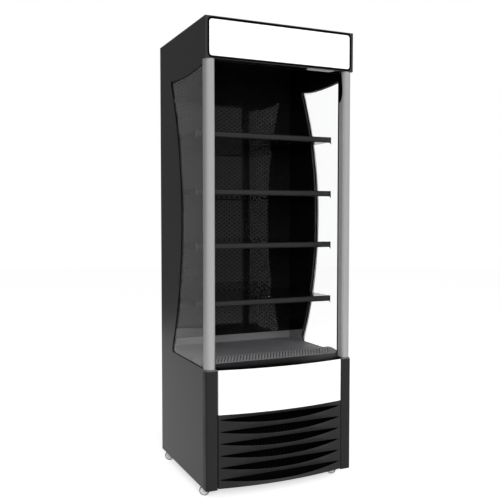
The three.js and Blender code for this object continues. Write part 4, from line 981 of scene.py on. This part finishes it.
pipes = new_piece("refrigerant_pipes", builder, copper, "cabinet")
# Painted shade: the pipes in front of the condenser's baffle are near-black.
repaint(pipes, painted_shade_metal, lambda face: face.center.y < baffle_y)

span = DRYER_TO - DRYER_FROM
dryer_end = [(LIQUID_PIPE, 0), (DRYER_NECK, DRYER_NECK_LENGTH), (DRYER_RADIUS, DRYER_END_LENGTH)]
dryer = [(0, 0), *dryer_end, *((r, span - h) for r, h in reversed(dryer_end)), (0, span)]
builder = bmesh.new()
revolve(builder, dryer, facing((pipe_x, DRYER_FROM, liquid_z), BACK), DRYER_SIDES)
new_piece("filter_dryer", builder, copper, "cabinet")

sleeve_top = tank_z + PIPE_OVERLAP
sleeve = [
    (*SUCTION_START, can_high.z + SLEEVE_RISE),
    (*SUCTION_START, suction_z),
    (suction_x, suction_y, suction_z),
    (suction_x, suction_y, sleeve_top),
]
pan_low, pan_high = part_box("drain_pan")
hose = ((pan_low.x + pan_high.x) / 2, (pan_low.y + pan_high.y) / 2)
builder = bmesh.new()
sweep(builder, rounded_route(sleeve), PIPE_SLEEVE, SLEEVE_SIDES)
sweep(builder, [(*hose, sleeve_top), (*hose, pan_low.z + HOSE_END)], DRAIN_HOSE, HOSE_SIDES)
new_piece("pipe_sleeve_and_hose", builder, rubber, "cabinet")

grommet = [
    (DISCHARGE_PIPE, -GROMMET_HALF_DEPTH),
    (GROMMET_RADIUS, -GROMMET_HALF_DEPTH),
    (GROMMET_BULGE, 0),
    (GROMMET_RADIUS, GROMMET_HALF_DEPTH),
    (DISCHARGE_PIPE, GROMMET_HALF_DEPTH),
    (DISCHARGE_PIPE, -GROMMET_HALF_DEPTH),
]
builder = bmesh.new()
for z in (pipe_z, liquid_z):
    revolve(builder, grommet, facing((pipe_x, baffle_y + PIPE_OVERLAP, z), BACK), GROMMET_SIDES)
new_piece("pipe_grommets", builder, painted_shade_metal, "cabinet")

# ---------------------------------------------------------------- stage, light and camera


def seen(tree):
    """1 for what the camera sees, also in reflections and through glass, and 0 for lighting."""
    path = tree.nodes.new("ShaderNodeLightPath")
    value = path.outputs["Is Camera Ray"]
    for kind in ("Is Glossy Ray", "Is Transmission Ray"):
        larger = tree.nodes.new("ShaderNodeMath")
        larger.operation = "MAXIMUM"
        tree.links.new(value, larger.inputs[0])
        tree.links.new(path.outputs[kind], larger.inputs[1])
        value = larger.outputs["Value"]
    return value


def blank_material(name):
    """A material with only an output, and its tree."""
    material = bpy.data.materials.new(name)
    material.use_nodes = True
    tree = material.node_tree
    tree.nodes.clear()
    tree.nodes.new("ShaderNodeOutputMaterial")
    return material, tree


def emission(tree, strength):
    """The output of a white glow."""
    glow = tree.nodes.new("ShaderNodeEmission")
    glow.inputs["Strength"].default_value = strength
    return glow.outputs["Emission"]


def stage_mesh(name, builder, material):
    """An object of the stage, made from a bmesh."""
    mesh = bpy.data.meshes.new(name)
    builder.to_mesh(mesh)
    builder.free()
    mesh.materials.append(material)
    thing = bpy.data.objects.new(name, mesh)
    bpy.context.scene.collection.objects.link(thing)
    return thing


def floor_material():
    """A plain pale floor with a glow that only shows where it is seen."""
    material, tree = blank_material("floor_white")
    diffuse = tree.nodes.new("ShaderNodeBsdfDiffuse")
    diffuse.inputs["Color"].default_value = (FLOOR_GREY, FLOOR_GREY, FLOOR_GREY, 1)
    pick = tree.nodes.new("ShaderNodeMixShader")
    both = tree.nodes.new("ShaderNodeAddShader")
    link = tree.links.new
    link(seen(tree), pick.inputs["Fac"])
    link(emission(tree, 0), pick.inputs[1])
    link(emission(tree, FLOOR_GLOW), pick.inputs[2])
    link(diffuse.outputs["BSDF"], both.inputs[0])
    link(pick.outputs["Shader"], both.inputs[1])
    link(both.outputs["Shader"], tree.nodes["Material Output"].inputs["Surface"])
    return material


def add_floor():
    """A round floor, wide enough for every view."""
    builder = bmesh.new()
    bmesh.ops.create_circle(builder, cap_ends=True, segments=FLOOR_SIDES, radius=FLOOR_RADIUS)
    floor = stage_mesh("floor", builder, floor_material())


def add_flag():
    """A dark curved screen on the left that only shows in reflections, down to the floor."""
    builder = bmesh.new()
    columns = []
    for i in range(FLAG_STEPS + 1):
        turn = math.radians(FLAG_FROM + (FLAG_TO - FLAG_FROM) * i / FLAG_STEPS)
        x, y = -FLAG_RADIUS * math.sin(turn), FLAG_RADIUS * math.cos(turn)
        columns.append([builder.verts.new((x, y, z)) for z in (0, FLAG_HEIGHT)])
    for near, far in zip(columns, columns[1:]):
        builder.faces.new([near[0], far[0], far[1], near[1]])
    grey, tree = blank_material("flag_grey")
    tree.links.new(emission(tree, FLAG_LEVEL), tree.nodes["Material Output"].inputs["Surface"])
    flag = stage_mesh("flag", builder, grey)
    for kind in ("camera", "diffuse", "transmission", "shadow", "volume_scatter"):
        setattr(flag, "visible_" + kind, False)


def add_world():
    """A room that is white where it is seen, and gives a dimmer light."""
    world = bpy.data.worlds.new("studio")
    world.use_nodes = True
    bpy.context.scene.world = world
    tree = world.node_tree
    background = tree.nodes["Background"]
    background.inputs["Color"].default_value = (1, 1, 1, 1)
    level = map_range(tree, 0, 1, AMBIENT, 1)
    tree.links.new(seen(tree), level.inputs["Value"])
    tree.links.new(level.outputs["Result"], background.inputs["Strength"])


def add_lamp(name, place, target, size, power):
    """A square soft light that is seen neither by the camera nor in reflections."""
    lamp = bpy.data.lights.new(name, "AREA")
    lamp.shape = "SQUARE"
    lamp.size = size
    lamp.energy = power
    holder = bpy.data.objects.new(name, lamp)
    holder.location = place
    holder.rotation_euler = (Vector(target) - Vector(place)).to_track_quat("-Z", "Y").to_euler()
    holder.visible_glossy = False
    holder.visible_camera = False
    bpy.context.scene.collection.objects.link(holder)


def add_camera():
    """The camera of the photo."""
    camera_data = bpy.data.cameras.new("camera")
    camera_data.lens = CAMERA_LENS
    camera_data.sensor_width = CAMERA_SENSOR
    camera = bpy.data.objects.new("camera", camera_data)
    camera.location = CAMERA_PLACE
    camera.rotation_euler = (math.radians(90 - CAMERA_DIP), 0, math.radians(CAMERA_HEADING))
    bpy.context.scene.collection.objects.link(camera)
    bpy.context.scene.camera = camera


add_floor()
add_flag()
add_world()
add_lamp("key", (-1.6, -4.8, 2.4), target=(0, 0, 0.9), size=2.0, power=170)
add_lamp("fill", (3.2, -3.0, 2.4), target=(0, 0, 1.0), size=2.4, power=60)
add_camera()
bpy.context.scene.view_settings.view_transform = "Standard"
